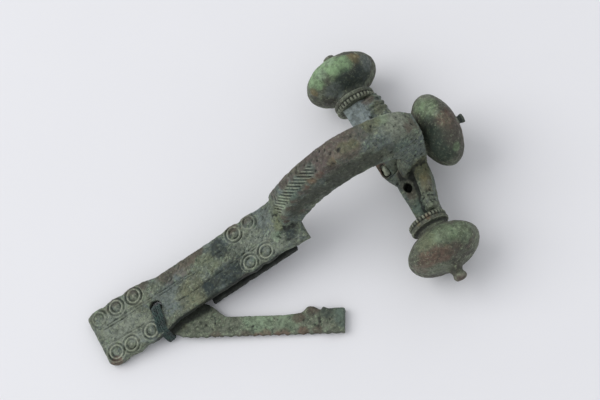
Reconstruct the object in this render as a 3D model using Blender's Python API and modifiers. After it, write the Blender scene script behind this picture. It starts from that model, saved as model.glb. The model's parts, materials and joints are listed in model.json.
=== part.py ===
"""Late Roman crossbow brooch of cast bronze, lying on its back, with its loose catch strip tied on.

The brooch frame has x from the foot's end to the head, y to the left knob, and z up from the
foot's top face. Two guides carry it: one tips the brooch onto its knobs and foot end, and one
holds the loose strip, whose frame is the table itself.
"""
import math

import bmesh
import bpy
from mathutils import Matrix, Vector

MM = 0.001

# Clearances
PIECE_GAP = 0.3 * MM
BORE_GAP = 0.3 * MM
SUNK = 0.4 * MM

# Foot plate
FOOT_LENGTH = 47.7 * MM
FOOT_THICK = 2.1 * MM
FOOT_END_HALF_WIDTH = 5.85 * MM
FOOT_WAIST_HALF_WIDTH = 5.05 * MM
FOOT_HEAD_HALF_WIDTH = 5.7 * MM
SCALLOP_DEPTH = 0.4 * MM
SCALLOP_HALF_LENGTH = 1.7 * MM
CORNER_CUT = 0.5 * MM

# Ring-and-dot punches, two rows at each end of the foot
END_RING_FIRST = 2.5 * MM
END_RING_PITCH = 4.2 * MM
END_RING_COUNT = 3
END_RING_ROW = 4.1 * MM
BOW_RING_FIRST = 34.9 * MM
BOW_RING_PITCH = 3.85 * MM
BOW_RING_COUNT = 2
BOW_RING_ROW = 3.4 * MM
RING_RADIUS = 1.35 * MM
RING_GROOVE = 0.3 * MM
DOT_RADIUS = 0.4 * MM

# Hole through the foot for the thread
HOLE_FROM_END = 13.8 * MM
HOLE_OFFSET = -0.3 * MM
HOLE_RADIUS = 1.3 * MM

# Pin sheath under the foot, open on the right where its wall is lost
SHEATH_START = 17.4 * MM
SHEATH_FLOOR_START = 23.6 * MM
SHEATH_END_BACK = 3.8 * MM
SHEATH_DEPTH = 3.4 * MM
SHEATH_FLOOR_THICK = 1.3 * MM
SHEATH_WALL = 1.5 * MM
SHEATH_HALF_WIDTH = 5.0 * MM

# Bow: shares of the span and of the rise, run from the foot to the head
BOW_START = 44.1 * MM
BOW_SPAN = 33.0 * MM
BOW_RISE = 15.0 * MM
BOW_CREST = (
    (0.0, -0.07), (0.035, 0.24), (0.18, 0.63), (0.38, 0.89), (0.58, 1.0),
    (0.78, 0.905), (0.95, 0.65), (1.025, 0.21), (0.99, -0.25), (0.965, -0.66),
)
BOW_SOFFIT = (
    (0.105, -0.07), (0.165, 0.06), (0.29, 0.26), (0.42, 0.39), (0.57, 0.44),
    (0.71, 0.385), (0.80, 0.21), (0.83, -0.03), (0.76, -0.30), (0.72, -0.66),
)
BOW_TOP_HALF_WIDTH = 2.4 * MM
BOW_BASE_FLARE = 1.0 * MM
BOW_HEAD_FLARE = 1.75 * MM
BOW_SOFFIT_HALF_WIDTH = 4.0 * MM
BOW_HEAD_SOFFIT_FLARE = 0.9 * MM
BOW_BASE_LEAN = 1.65 * MM
BOW_STATIONS = 34
RAMP_LENGTH = 3.6 * MM
RAMP_HEIGHT = 1.1 * MM
RAMP_HALF_WIDTH = 3.7 * MM
RAMP_LEAN = 0.91 * MM

# Crossbar with the hinge case
AXIS_FROM_END = 68.4 * MM
AXIS_DROP = 6.3 * MM
ARM_END = 14.1 * MM
ARM_TAPER_START = 2.0 * MM
CASE_FOOT_SIDE = 3.0 * MM
CASE_TAPER_START = 1.0 * MM
CASE_TAPER_END = 5.0 * MM
ARM_FOOT_SIDE_LEFT = 2.7 * MM
ARM_FOOT_SIDE_RIGHT = 1.4 * MM
ARM_INNER_DEPTH = 5.3 * MM
ARM_OUTER_DEPTH = 3.4 * MM
ARM_TOP = 0.6 * MM
ARM_TOP_RISE = 0.8 * MM
CREST_HEIGHT = 2.4 * MM
CREST_INNER_START = 2.9 * MM
CREST_OUTER_START = 1.2 * MM
CREST_THICK = 3.5 * MM
CREST_BLOCK_FROM = 10.9 * MM
CREST_BLOCK_TO = 13.6 * MM
CREST_BLOCK_RISE = 0.55 * MM
CREST_BLOCK_GROOVE = 0.15 * MM
CREST_BLOCK_RIB_COUNT = 3
CASE_HOLE_FROM_MIDDLE = 6.5 * MM
CASE_HOLE_HEAD_SIDE = 0.3 * MM
CASE_HOLE_LENGTH = 2.2 * MM
CASE_HOLE_WIDTH = 1.6 * MM
CASE_HOLE_DEPTH = 2.6 * MM

# Hinge: a sloping seat that ends in the narrow slot of the lost pin. The outline of the seat
# has shares of its length from the axis and of its width, run from the foot side round the head
SEAT_LEFT = 0.9 * MM
SEAT_LENGTH = 2.2 * MM
SEAT_WIDTH = 3.6 * MM
SEAT_SLOPE = math.radians(25.0)
SEAT_OUTLINE = (
    (-2.0, 0.0), (0.5, 0.0), (0.9, 0.12), (1.0, 0.3),
    (0.86, 0.5), (0.4, 0.7), (-0.3, 0.88), (-2.0, 1.15),
)
SLOT_FROM_POINT = 3
SLOT_WIDTH = 0.55 * MM
SLOT_DEPTH = 4.0 * MM

# Hinge rod, broken off at the seat
ROD_RADIUS = 0.45 * MM
ROD_BACK_FROM_AXIS = 1.8 * MM
ROD_BELOW_AXIS = 0.55 * MM
ROD_LENGTH = 9.0 * MM
ROD_END = -1.45 * MM

# Onion knobs
KNOB_RADIUS = 7.65 * MM
KNOB_HALF_THICK = 4.25 * MM
KNOB_FROM_MIDDLE = 21.1 * MM
NECK_RADIUS = 3.3 * MM
COLLAR_RADIUS = 4.35 * MM
COLLAR_BEAD = 0.45 * MM
COLLAR_WIDTH = 1.9 * MM
COLLAR_PAST_NECK = 0.02 * MM
COLLAR_BEAD_COUNT = 18
COLLAR_OFFSET = 0.1 * MM
FINIAL_RADIUS = 1.25 * MM
FINIAL_NECK = 1.0 * MM
FINIAL_BASE = 1.7 * MM
LEFT_FINIAL = 1.5 * MM
RIGHT_FINIAL = 2.8 * MM
HEAD_FINIAL = 2.0 * MM
KNOB_STEPS = 32
KNOB_MERGE = 0.02 * MM

# Head knob
HEAD_FROM_AXIS = 11.3 * MM
HEAD_ABOVE_AXIS = 1.0 * MM
HEAD_DROOP = math.radians(17.6)
HEAD_NECK_LENGTH = 0.1 * MM

# Loose strip from the sheath's wall, on the table
STRIP_ROOT = (14.1 * MM, -6.75 * MM)
STRIP_TURN = math.radians(-28.6)
STRIP_LENGTH = 33.9 * MM
STRIP_ROOT_BACK = 1.6 * MM
STRIP_ROOT_TAPER = 1.19 * MM
STRIP_ROOT_TAPER_END = 2.0 * MM
STRIP_THICK = 1.0 * MM
STRIP_LIFT = 1.0 * MM
STRIP_WIDTH = 3.4 * MM
STRIP_ROOT_WIDTH = 6.2 * MM
STRIP_FLARE_END = 10.5 * MM
STRIP_BUMP_AT = 27.3 * MM
STRIP_BUMP = 1.3 * MM
STRIP_BUMP_HALF_LENGTH = 1.9 * MM
STRIP_BLOCK_START = 29.6 * MM
STRIP_BLOCK_STEP = 0.6 * MM
STRIP_BLOCK_WIDTH = 4.25 * MM
STRIP_BLOCK_THICK = 1.9 * MM
STRIP_SCALLOP_PITCH = 2.4 * MM
STRIP_SCALLOP = 0.2 * MM
STRIP_LOW_EDGE = 0.7 * MM
STRIP_CORNER = 0.2 * MM

# Binding thread, a flat bundle of strands
THREAD_WIDTH = 1.7 * MM
THREAD_THICK = 0.6 * MM
THREAD_OFF_TABLE = 0.06 * MM
THREAD_STATIONS = 44

GUIDE_SIZE = 10.0 * MM


def clear_scene():
    for item in list(bpy.data.objects):
        bpy.data.objects.remove(item, do_unlink=True)


def make_collection(name):
    collection = bpy.data.collections.new(name)
    bpy.context.scene.collection.children.link(collection)
    return collection


def make_material(name, colour, roughness, metallic):
    material = bpy.data.materials.new(name)
    material.use_nodes = True
    shader = material.node_tree.nodes["Principled BSDF"]
    shader.inputs["Base Color"].default_value = (*colour, 1.0)
    shader.inputs["Roughness"].default_value = roughness
    shader.inputs["Metallic"].default_value = metallic
    return material


def lerp(a, b, t):
    return a + (b - a) * t


def clamp01(t):
    return max(0.0, min(1.0, t))


def smooth(a, b, x):
    """0 before a, 1 after b, eased between them."""
    t = clamp01((x - a) / (b - a))
    return t * t * (3.0 - 2.0 * t)


def bulge(centre, half_length, x):
    """A rounded bump, 1 at its centre and 0 beyond its half length."""
    t = (x - centre) / half_length
    return max(0.0, 1.0 - t * t)


def through(knots, t):
    """A point on the smooth curve through the knots, for t from 0 to 1."""
    last = len(knots) - 1
    place = clamp01(t) * last
    index = min(int(place), last - 1)
    u = place - index
    a = Vector(knots[max(index - 1, 0)])
    b = Vector(knots[index])
    c = Vector(knots[index + 1])
    d = Vector(knots[min(index + 2, last)])
    return 0.5 * (2.0 * b + (c - a) * u + (2.0 * a - 5.0 * b + 4.0 * c - d) * u * u
                  + (3.0 * b - a - 3.0 * c + d) * u * u * u)


def finish_mesh(shape, name, collection, material=None):
    bmesh.ops.recalc_face_normals(shape, faces=shape.faces)
    mesh = bpy.data.meshes.new(name)
    shape.to_mesh(mesh)
    shape.free()
    item = bpy.data.objects.new(name, mesh)
    collection.objects.link(item)
    if material is not None:
        mesh.materials.append(material)
    return item


def loft(name, rings, collection, material=None, ring_closes=False):
    """Skin a row of like sections; the ends are capped unless the row closes on itself."""
    shape = bmesh.new()
    rows = [[shape.verts.new(point) for point in ring] for ring in rings]
    size = len(rows[0])
    pairs = list(zip(rows, rows[1:]))
    if ring_closes:
        pairs.append((rows[-1], rows[0]))
    for low, high in pairs:
        for i in range(size):
            j = (i + 1) % size
            shape.faces.new((low[i], low[j], high[j], high[i]))
    if not ring_closes:
        shape.faces.new(rows[0][::-1])
        shape.faces.new(rows[-1])
    return finish_mesh(shape, name, collection, material)


def slab(name, outline, low, high, collection, material=None):
    """A flat outline in x and y, extruded from low to high in z."""
    rings = [[(x, y, z) for x, y in outline] for z in (low, high)]
    return loft(name, rings, collection, material)


def plate_on_edge(name, outline, right, left, collection):
    """An outline in x and z, extruded from right to left in y."""
    rings = [[(x, y, z) for x, z in outline] for y in (right, left)]
    return loft(name, rings, collection)


def join_shape(target, other, operation):
    modifier = target.modifiers.new(other.name, "BOOLEAN")
    modifier.operation = operation
    modifier.solver = "EXACT"
    modifier.object = other


def ring_centres():
    """Centres of all ring-and-dot punches, for both rows at both ends."""
    centres = []
    for side in (1.0, -1.0):
        for i in range(END_RING_COUNT):
            centres.append((END_RING_FIRST + i * END_RING_PITCH, side * END_RING_ROW))
        for i in range(BOW_RING_COUNT):
            centres.append((BOW_RING_FIRST + i * BOW_RING_PITCH, side * BOW_RING_ROW))
    return centres


def end_rings_stop():
    return END_RING_FIRST + (END_RING_COUNT - 0.5) * END_RING_PITCH


def foot_half_width(x):
    width = lerp(FOOT_END_HALF_WIDTH, FOOT_WAIST_HALF_WIDTH,
                 smooth(end_rings_stop(), end_rings_stop() + END_RING_PITCH, x))
    width = lerp(width, FOOT_HEAD_HALF_WIDTH,
                 smooth(FOOT_LENGTH - 2.0 * BOW_RING_PITCH, FOOT_LENGTH, x))
    for centre, row in ring_centres():
        if row > 0.0:
            width += SCALLOP_DEPTH * bulge(centre, SCALLOP_HALF_LENGTH, x)
    width -= CORNER_CUT * (1.0 - smooth(0.0, CORNER_CUT, x))
    return width


def foot_outline():
    count = 44
    stations = [FOOT_LENGTH * i / count for i in range(count + 1)]
    left = [(x, foot_half_width(x)) for x in stations]
    right = [(x, -foot_half_width(x)) for x in reversed(stations)]
    return left + right


def build_foot(collection, material):
    return slab("brooch_casting", foot_outline(), -FOOT_THICK, 0.0, collection, material)


def build_sheath(shapes):
    """The closed left wall and the floor of the pin sheath."""
    end = FOOT_LENGTH - SHEATH_END_BACK
    bottom = -FOOT_THICK - SHEATH_DEPTH
    inside_top = -FOOT_THICK + SUNK
    shallow = -FOOT_THICK - 0.4 * SHEATH_DEPTH
    wall = plate_on_edge(
        "sheath_wall",
        ((SHEATH_START, inside_top), (SHEATH_START, shallow), (SHEATH_FLOOR_START, bottom),
         (end, bottom), (end, inside_top)),
        SHEATH_HALF_WIDTH - SHEATH_WALL, SHEATH_HALF_WIDTH, shapes)
    floor = plate_on_edge(
        "sheath_floor",
        ((SHEATH_FLOOR_START, bottom), (end, bottom),
         (end, bottom + SHEATH_FLOOR_THICK), (SHEATH_FLOOR_START, bottom + SHEATH_FLOOR_THICK)),
        -SHEATH_HALF_WIDTH, SHEATH_HALF_WIDTH - 0.5 * SHEATH_WALL, shapes)
    return [wall, floor]


def bow_point(share):
    return Vector((BOW_START + share[0] * BOW_SPAN, 0.0, share[1] * BOW_RISE))


def bow_section(t):
    """One trapezoid section of the bow, with its four corners eased."""
    crest = bow_point(through(BOW_CREST, t))
    soffit = bow_point(through(BOW_SOFFIT, t))
    base = 1.0 - smooth(0.0, 0.6, t)
    head = smooth(0.72, 0.92, t)
    top = BOW_TOP_HALF_WIDTH + BOW_BASE_FLARE * (1.0 - smooth(0.0, 0.26, t)) + BOW_HEAD_FLARE * head
    low = BOW_SOFFIT_HALF_WIDTH + BOW_HEAD_SOFFIT_FLARE * head
    lean = BOW_BASE_LEAN * base
    corners = ((0.0, top * 0.8), (0.07, top), (0.5, lerp(top, low, 0.55)),
               (0.93, low), (1.0, low * 0.85))
    left = [crest.lerp(soffit, share) + Vector((0.0, lean + width, 0.0)) for share, width in corners]
    right = [crest.lerp(soffit, share) + Vector((0.0, lean - width, 0.0)) for share, width in corners]
    return left + right[::-1]


def build_bow(shapes):
    rings = [bow_section(i / (BOW_STATIONS - 1)) for i in range(BOW_STATIONS)]
    return loft("bow", rings, shapes)


def build_ramp(shapes):
    """The low ramp by which the foot rises to the bow."""
    start = BOW_START - RAMP_LENGTH
    stop = BOW_START + 0.5 * RAMP_LENGTH
    rings = []
    for x, height, half in ((start, 0.02 * RAMP_HEIGHT, RAMP_HALF_WIDTH),
                            (BOW_START, RAMP_HEIGHT, 0.9 * RAMP_HALF_WIDTH),
                            (stop, 0.8 * RAMP_HEIGHT, 0.8 * RAMP_HALF_WIDTH)):
        rings.append([(x, RAMP_LEAN - half, -SUNK), (x, RAMP_LEAN + half, -SUNK),
                      (x, RAMP_LEAN + 0.75 * half, height), (x, RAMP_LEAN - 0.75 * half, height)])
    return loft("bow_ramp", rings, shapes)


def case_foot_side(y):
    """Distance of the case's foot side from the axis: widest at the hinge."""
    outer = ARM_FOOT_SIDE_LEFT if y > 0.0 else ARM_FOOT_SIDE_RIGHT
    return lerp(CASE_FOOT_SIDE, outer, smooth(CASE_TAPER_START, CASE_TAPER_END, abs(y)))


def arm_section(y, crest_rise):
    """Section of the crossbar at y: a flat case with a rounded crest along its head side."""
    axis = Vector((AXIS_FROM_END, y, -AXIS_DROP))
    t = smooth(ARM_TAPER_START, ARM_END, abs(y))
    depth = lerp(ARM_INNER_DEPTH, ARM_OUTER_DEPTH, t)
    crest_start = lerp(CREST_INNER_START, CREST_OUTER_START, t)
    crest_end = crest_start + CREST_THICK
    foot_side = case_foot_side(y)
    top = ARM_TOP + ARM_TOP_RISE * smooth(0.5 * ARM_END, ARM_END, y)
    points = (
        (-foot_side, -0.75 * depth), (-foot_side, top), (crest_start, top),
        (crest_start + 0.12 * CREST_THICK, ARM_TOP + 0.7 * crest_rise),
        (crest_start + 0.4 * CREST_THICK, ARM_TOP + crest_rise),
        (crest_start + 0.75 * CREST_THICK, ARM_TOP + 0.85 * crest_rise),
        (crest_end, ARM_TOP + 0.3 * crest_rise),
        (crest_end, -0.7 * depth), (crest_end - 0.2 * CREST_THICK, -depth), (-0.5 * foot_side, -depth),
    )
    return [axis + Vector((x, 0.0, z)) for x, z in points]


def arm_stations():
    """Distances from the middle, with the rise of the crest at each."""
    steps = 3
    stations = [(lerp(CASE_TAPER_START, CASE_TAPER_END, i / steps), CREST_HEIGHT) for i in range(steps + 1)]
    stations.append((0.73 * CREST_BLOCK_FROM, CREST_HEIGHT * 0.9))
    stations.append((CREST_BLOCK_FROM - CREST_BLOCK_GROOVE, CREST_HEIGHT * 0.78))
    pitch = (CREST_BLOCK_TO - CREST_BLOCK_FROM) / CREST_BLOCK_RIB_COUNT
    for i in range(CREST_BLOCK_RIB_COUNT):
        start = CREST_BLOCK_FROM + i * pitch
        stations.append((start, CREST_HEIGHT * 0.72))
        stations.append((start + 0.3 * pitch, CREST_HEIGHT * 0.72 + CREST_BLOCK_RISE))
        stations.append((start + 0.7 * pitch, CREST_HEIGHT * 0.72 + CREST_BLOCK_RISE))
    stations.append((CREST_BLOCK_TO, CREST_HEIGHT * 0.55))
    stations.append((ARM_END, CREST_HEIGHT * 0.55))
    return stations


def build_crossbar(shapes):
    """Both arms and the hinge case, from the right collar to the left one."""
    stations = arm_stations()
    rings = [arm_section(-distance, rise) for distance, rise in reversed(stations)]
    rings.extend(arm_section(distance, rise) for distance, rise in stations)
    return loft("crossbar", rings, shapes)


def seat_outline():
    return [(AXIS_FROM_END + along * SEAT_LENGTH, SEAT_LEFT - across * SEAT_WIDTH)
            for along, across in SEAT_OUTLINE]


def build_hinge_seat(cutters):
    """The seat that slopes down to the slot from the left, rounded at its head side."""
    top = -AXIS_DROP + ARM_TOP
    outline = seat_outline()
    floor = [(x, y, top - (SEAT_LEFT - y) * math.tan(SEAT_SLOPE)) for x, y in outline]
    over = [(x, y, top + SEAT_WIDTH) for x, y in outline]
    return loft("hinge_seat", [floor, over], cutters)


def build_pin_slot(cutters):
    """The narrow slot where the lost pin's head turned, along the right edge of the seat."""
    edge = seat_outline()[SLOT_FROM_POINT:]
    left = [(x, y + 0.3 * SLOT_WIDTH) for x, y in edge]
    right = [(x, y - 0.7 * SLOT_WIDTH) for x, y in reversed(edge)]
    return slab("pin_slot", left + right, -AXIS_DROP - SLOT_DEPTH, -AXIS_DROP + ARM_TOP + SEAT_WIDTH,
                cutters)


def rod_axis_point(y):
    return Vector((AXIS_FROM_END - ROD_BACK_FROM_AXIS, y, -AXIS_DROP - ROD_BELOW_AXIS))


def round_bar(name, radius, start, stop, sides, collection, material=None):
    """A round bar along y."""
    shape = bmesh.new()
    length = abs(stop.y - start.y)
    turn = Matrix.Translation((start + stop) * 0.5) @ Matrix.Rotation(math.pi / 2.0, 4, "X")
    bmesh.ops.create_cone(shape, cap_ends=True, segments=sides, radius1=radius, radius2=radius,
                          depth=length, matrix=turn)
    return finish_mesh(shape, name, collection, material)


def build_rod(collection, material):
    return round_bar("hinge_rod", ROD_RADIUS, rod_axis_point(ROD_END), rod_axis_point(ROD_END + ROD_LENGTH),
                     20, collection, material)


def build_rod_bore(cutters):
    start = rod_axis_point(ROD_END - BORE_GAP)
    stop = rod_axis_point(ROD_END + ROD_LENGTH + BORE_GAP)
    return round_bar("rod_bore", ROD_RADIUS + BORE_GAP, start, stop, 20, cutters)


def upright_pin(shape, x, y, radius, low, high, sides, stretch=1.0):
    place = Matrix.Translation((x, y, (low + high) * 0.5)) @ Matrix.Diagonal((1.0, stretch, 1.0, 1.0))
    bmesh.ops.create_cone(shape, cap_ends=True, segments=sides, radius1=radius, radius2=radius,
                          depth=high - low, matrix=place)


def build_thread_hole(cutters):
    shape = bmesh.new()
    upright_pin(shape, HOLE_FROM_END, HOLE_OFFSET, HOLE_RADIUS, -2.0 * FOOT_THICK, FOOT_THICK, 20)
    return finish_mesh(shape, "thread_hole", cutters)


def build_case_hole(cutters):
    """The oval hole in the flat face of the right arm."""
    shape = bmesh.new()
    top = -AXIS_DROP + ARM_TOP
    upright_pin(shape, AXIS_FROM_END + CASE_HOLE_HEAD_SIDE, -CASE_HOLE_FROM_MIDDLE, 0.5 * CASE_HOLE_WIDTH,
                top - CASE_HOLE_DEPTH, top + CREST_HEIGHT, 16, CASE_HOLE_LENGTH / CASE_HOLE_WIDTH)
    return finish_mesh(shape, "case_hole", cutters)


def build_ring_cutter(cutters):
    """All ring grooves and dots as one cutter of separate rings and cones."""
    shape = bmesh.new()
    sides = 16
    for x, y in ring_centres():
        rim = []
        for i in range(sides):
            angle = 2.0 * math.pi * i / sides
            across = Vector((math.cos(angle), math.sin(angle), 0.0))
            centre = Vector((x, y, 0.0)) + across * RING_RADIUS
            up = Vector((0.0, 0.0, 0.6 * RING_GROOVE))
            rim.append([shape.verts.new(centre + across * RING_GROOVE + up),
                        shape.verts.new(centre - across * RING_GROOVE + up),
                        shape.verts.new(centre - up)])
        for i in range(sides):
            near, far = rim[i], rim[(i + 1) % sides]
            for k in range(3):
                m = (k + 1) % 3
                shape.faces.new((near[k], near[m], far[m], far[k]))
        upright_pin(shape, x, y, DOT_RADIUS, -0.5 * DOT_RADIUS, DOT_RADIUS, 8)
    return finish_mesh(shape, "ring_and_dot_punches", cutters)


def knob_profile(neck_length, finial):
    """Half outline of an onion knob, from its finial's tip down to the end of its neck."""
    tip = KNOB_HALF_THICK + finial
    points = [(0.0, tip), (FINIAL_RADIUS, tip), (FINIAL_RADIUS, tip - 0.4 * finial),
              (FINIAL_NECK, tip - 0.6 * finial), (0.5 * (FINIAL_NECK + FINIAL_BASE), KNOB_HALF_THICK)]
    turns = 12
    start = math.asin(min(1.0, FINIAL_BASE / KNOB_RADIUS))
    stop = math.pi - math.asin(min(1.0, NECK_RADIUS / KNOB_RADIUS))
    for i in range(turns + 1):
        angle = lerp(start, stop, i / turns)
        points.append((KNOB_RADIUS * math.sin(angle), KNOB_HALF_THICK * math.cos(angle)))
    foot = -(KNOB_HALF_THICK + neck_length)
    points.append((0.93 * NECK_RADIUS, lerp(points[-1][1], foot, 0.5)))
    points.append((NECK_RADIUS, foot))
    points.append((0.0, foot))
    return points


def turned(name, profile, steps, collection, material=None):
    """Turn an outline about z with a Screw modifier."""
    mesh = bpy.data.meshes.new(name)
    mesh.from_pydata([(radius, 0.0, height) for radius, height in profile],
                     [(i, i + 1) for i in range(len(profile) - 1)], [])
    item = bpy.data.objects.new(name, mesh)
    collection.objects.link(item)
    if material is not None:
        mesh.materials.append(material)
    screw = item.modifiers.new("turning", "SCREW")
    screw.axis = "Z"
    screw.steps = steps
    screw.render_steps = steps
    screw.use_merge_vertices = True
    screw.merge_threshold = KNOB_MERGE
    screw.use_smooth_shade = True
    return item


def collar_rings(low, high):
    """A ring with beads round its rim, as stacked sections."""
    rings = []
    sides = 2 * COLLAR_BEAD_COUNT
    for share, swell in ((0.0, 0.0), (0.22, 0.75), (0.5, 1.0), (0.78, 0.75), (1.0, 0.0)):
        ring = []
        for i in range(sides):
            angle = 2.0 * math.pi * i / sides
            bead = 1.0 if i % 2 == 0 else 0.25
            radius = COLLAR_RADIUS - COLLAR_BEAD * (1.0 - swell * bead)
            ring.append((radius * math.cos(angle), radius * math.sin(angle), lerp(low, high, share)))
        rings.append(ring)
    return rings


def build_knob(name, collar_length, finial, place, collections, material):
    """An onion knob with its finial along +z, set into place; collar_length 0 leaves the collar out."""
    parts, shapes = collections
    neck = collar_length if collar_length > 0.0 else HEAD_NECK_LENGTH
    knob = turned(name, knob_profile(neck, finial), KNOB_STEPS, parts, material)
    knob.matrix_basis = place
    if collar_length > 0.0:
        low = -(KNOB_HALF_THICK + collar_length)
        collar = loft(name + "_collar", collar_rings(low, low + COLLAR_WIDTH), shapes)
        collar.matrix_basis = place @ Matrix.Translation((0.0, 0.0, -COLLAR_PAST_NECK))
        join_shape(knob, collar, "UNION")
        return knob, [collar]
    return knob, []


def side_knob_place(side):
    """A crossbar knob: its own z runs outwards along y."""
    centre = Vector((AXIS_FROM_END + COLLAR_OFFSET, side * KNOB_FROM_MIDDLE, -AXIS_DROP))
    return Matrix.Translation(centre) @ Matrix.Rotation(-side * math.pi / 2.0, 4, "X")


def head_knob_centre():
    return Vector((AXIS_FROM_END + HEAD_FROM_AXIS, 0.0, -AXIS_DROP + HEAD_ABOVE_AXIS))


def head_knob_place():
    return Matrix.Translation(head_knob_centre()) @ Matrix.Rotation(math.pi / 2.0 + HEAD_DROOP, 4, "Y")


def build_head_stop(cutters):
    """Cuts the bow's head off flat in front of the head knob's neck."""
    shape = bmesh.new()
    size = 4.0 * KNOB_RADIUS
    reach = KNOB_HALF_THICK + HEAD_NECK_LENGTH + PIECE_GAP
    place = head_knob_place() @ Matrix.Translation((0.0, 0.0, 0.5 * size - reach))
    bmesh.ops.create_cube(shape, size=size, matrix=place)
    return finish_mesh(shape, "head_stop", cutters)


def strip_block_share(s):
    """0 along the strip, 1 on the thick block at its far end."""
    return smooth(STRIP_BLOCK_START - STRIP_BLOCK_STEP, STRIP_BLOCK_START, s)


def strip_width(s):
    flare = 1.0 - smooth(0.55 * STRIP_FLARE_END, STRIP_FLARE_END, s)
    width = lerp(STRIP_WIDTH, STRIP_ROOT_WIDTH, flare)
    width += STRIP_BUMP * bulge(STRIP_BUMP_AT, STRIP_BUMP_HALF_LENGTH, s)
    return lerp(width, STRIP_BLOCK_WIDTH, strip_block_share(s))


def strip_low_edge(s):
    wave = abs(math.sin(math.pi * s / STRIP_SCALLOP_PITCH))
    fade = smooth(-0.1 * STRIP_FLARE_END, 0.25 * STRIP_FLARE_END, s)
    return -(STRIP_LOW_EDGE + STRIP_SCALLOP * wave) * fade


def build_strip(collection, material):
    """The loose strip, lying with its root lifted under the foot."""
    rings = []
    count = 56
    for i in range(count + 1):
        s = lerp(-STRIP_ROOT_BACK, STRIP_LENGTH, i / count)
        low = strip_low_edge(s)
        taper = STRIP_ROOT_TAPER * (1.0 - smooth(-STRIP_ROOT_BACK, STRIP_ROOT_TAPER_END, s))
        high = strip_width(s) - taper
        thick = lerp(STRIP_THICK, STRIP_BLOCK_THICK, strip_block_share(s))
        edge = STRIP_CORNER
        rings.append([(s, low + edge, 0.0), (s, high - edge, 0.0), (s, high, edge),
                      (s, high, thick - edge), (s, high - edge, thick), (s, low + edge, thick),
                      (s, low, thick - edge), (s, low, edge)])
    strip = loft("loose_catch_strip", rings, collection, material)
    tilt = math.atan2(STRIP_LIFT, STRIP_LENGTH)
    far = Vector((STRIP_ROOT[0], STRIP_ROOT[1], 0.0)) + Vector(
        (math.cos(STRIP_TURN), math.sin(STRIP_TURN), 0.0)) * STRIP_LENGTH * math.cos(tilt)
    strip.matrix_basis = (Matrix.Translation(far) @ Matrix.Rotation(STRIP_TURN, 4, "Z")
                          @ Matrix.Rotation(tilt, 4, "Y") @ Matrix.Translation((-STRIP_LENGTH, 0.0, 0.0)))
    return strip


def table_angle():
    """Slope of the table seen in the brooch frame: it touches the foot's end and both knobs."""
    rise = -AXIS_DROP + FOOT_THICK
    run = AXIS_FROM_END + COLLAR_OFFSET
    reach = math.hypot(rise, run)
    return math.atan2(rise, run) - math.asin(KNOB_RADIUS / reach)


def table_height(x):
    """z of the table in the brooch frame, below the point x of the foot."""
    return -FOOT_THICK + x * math.tan(table_angle())


def thread_knots():
    """Points of the loop in y and z: over the foot, round its right edge and under the strip's root."""
    clear = PIECE_GAP + 0.5 * THREAD_THICK
    edge = -foot_half_width(HOLE_FROM_END)
    root = STRIP_ROOT[1]
    floor = table_height(HOLE_FROM_END) + THREAD_OFF_TABLE + 0.5 * THREAD_THICK
    return (
        (HOLE_OFFSET, -0.5 * FOOT_THICK), (HOLE_OFFSET - 0.4 * clear, 0.3 * clear),
        (HOLE_OFFSET - 2.5 * clear, clear), (lerp(HOLE_OFFSET, edge, 0.75), clear),
        (edge - 0.15 * clear, clear), (edge - 1.1 * clear, -0.6 * FOOT_THICK),
        (root - 2.2 * clear, 0.45 * floor), (root - 2.6 * clear, 0.8 * floor),
        (root - 1.2 * clear, floor), (0.6 * root, floor), (0.35 * root, floor),
        (HOLE_OFFSET - 0.3 * clear, 0.85 * floor), (HOLE_OFFSET, -1.3 * FOOT_THICK),
    )


def build_thread(collection, material):
    """The binding thread: one flat closed loop through the foot's hole."""
    knots = thread_knots()
    count = len(knots)
    path = []
    for i in range(THREAD_STATIONS):
        place = i / THREAD_STATIONS * count
        index = int(place)
        u = place - index
        around = [knots[(index + k) % count] for k in (-1, 0, 1, 2)]
        path.append(through(around, (1.0 + u) / 3.0))
    rings = []
    for i, point in enumerate(path):
        ahead = path[(i + 1) % len(path)] - path[i - 1]
        across = Vector((0.0, -ahead.y, ahead.x)).normalized()
        centre = Vector((HOLE_FROM_END, point.x, point.y))
        ring = []
        for k in range(8):
            angle = 2.0 * math.pi * (k + 0.5) / 8
            ring.append(centre + across * (0.54 * THREAD_THICK * math.sin(angle))
                        + Vector((0.54 * THREAD_WIDTH * math.cos(angle), 0.0, 0.0)))
        rings.append(ring)
    return loft("binding_thread", rings, collection, material, ring_closes=True)


def build_casting(parts, shapes, material):
    """Foot, bow and crossbar as the one casting that they are."""
    casting = build_foot(parts, material)
    joined = build_sheath(shapes)
    joined.append(build_ramp(shapes))
    joined.append(build_bow(shapes))
    joined.append(build_crossbar(shapes))
    cuts = [build_hinge_seat(shapes), build_pin_slot(shapes), build_rod_bore(shapes),
            build_thread_hole(shapes), build_case_hole(shapes), build_head_stop(shapes),
            build_ring_cutter(shapes)]
    for shape in joined:
        join_shape(casting, shape, "UNION")
    for cut in cuts:
        join_shape(casting, cut, "DIFFERENCE")
    return casting, joined + cuts


def hide_helper(item):
    item.hide_render = True
    item.display_type = "WIRE"


def shade(item):
    item.data.shade_smooth()
    item.data.set_sharp_from_angle(angle=math.radians(35.0))


def make_guide(name, collection, place):
    guide = bpy.data.objects.new(name, None)
    guide.empty_display_size = GUIDE_SIZE
    collection.objects.link(guide)
    guide.matrix_basis = place
    return guide


def world_box(items):
    bpy.context.view_layer.update()
    graph = bpy.context.evaluated_depsgraph_get()
    points = []
    for item in items:
        evaluated = item.evaluated_get(graph)
        points.extend(evaluated.matrix_world @ vertex.co for vertex in evaluated.data.vertices)
    low = Vector(min(p[k] for p in points) for k in range(3))
    high = Vector(max(p[k] for p in points) for k in range(3))
    return low, high


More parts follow.
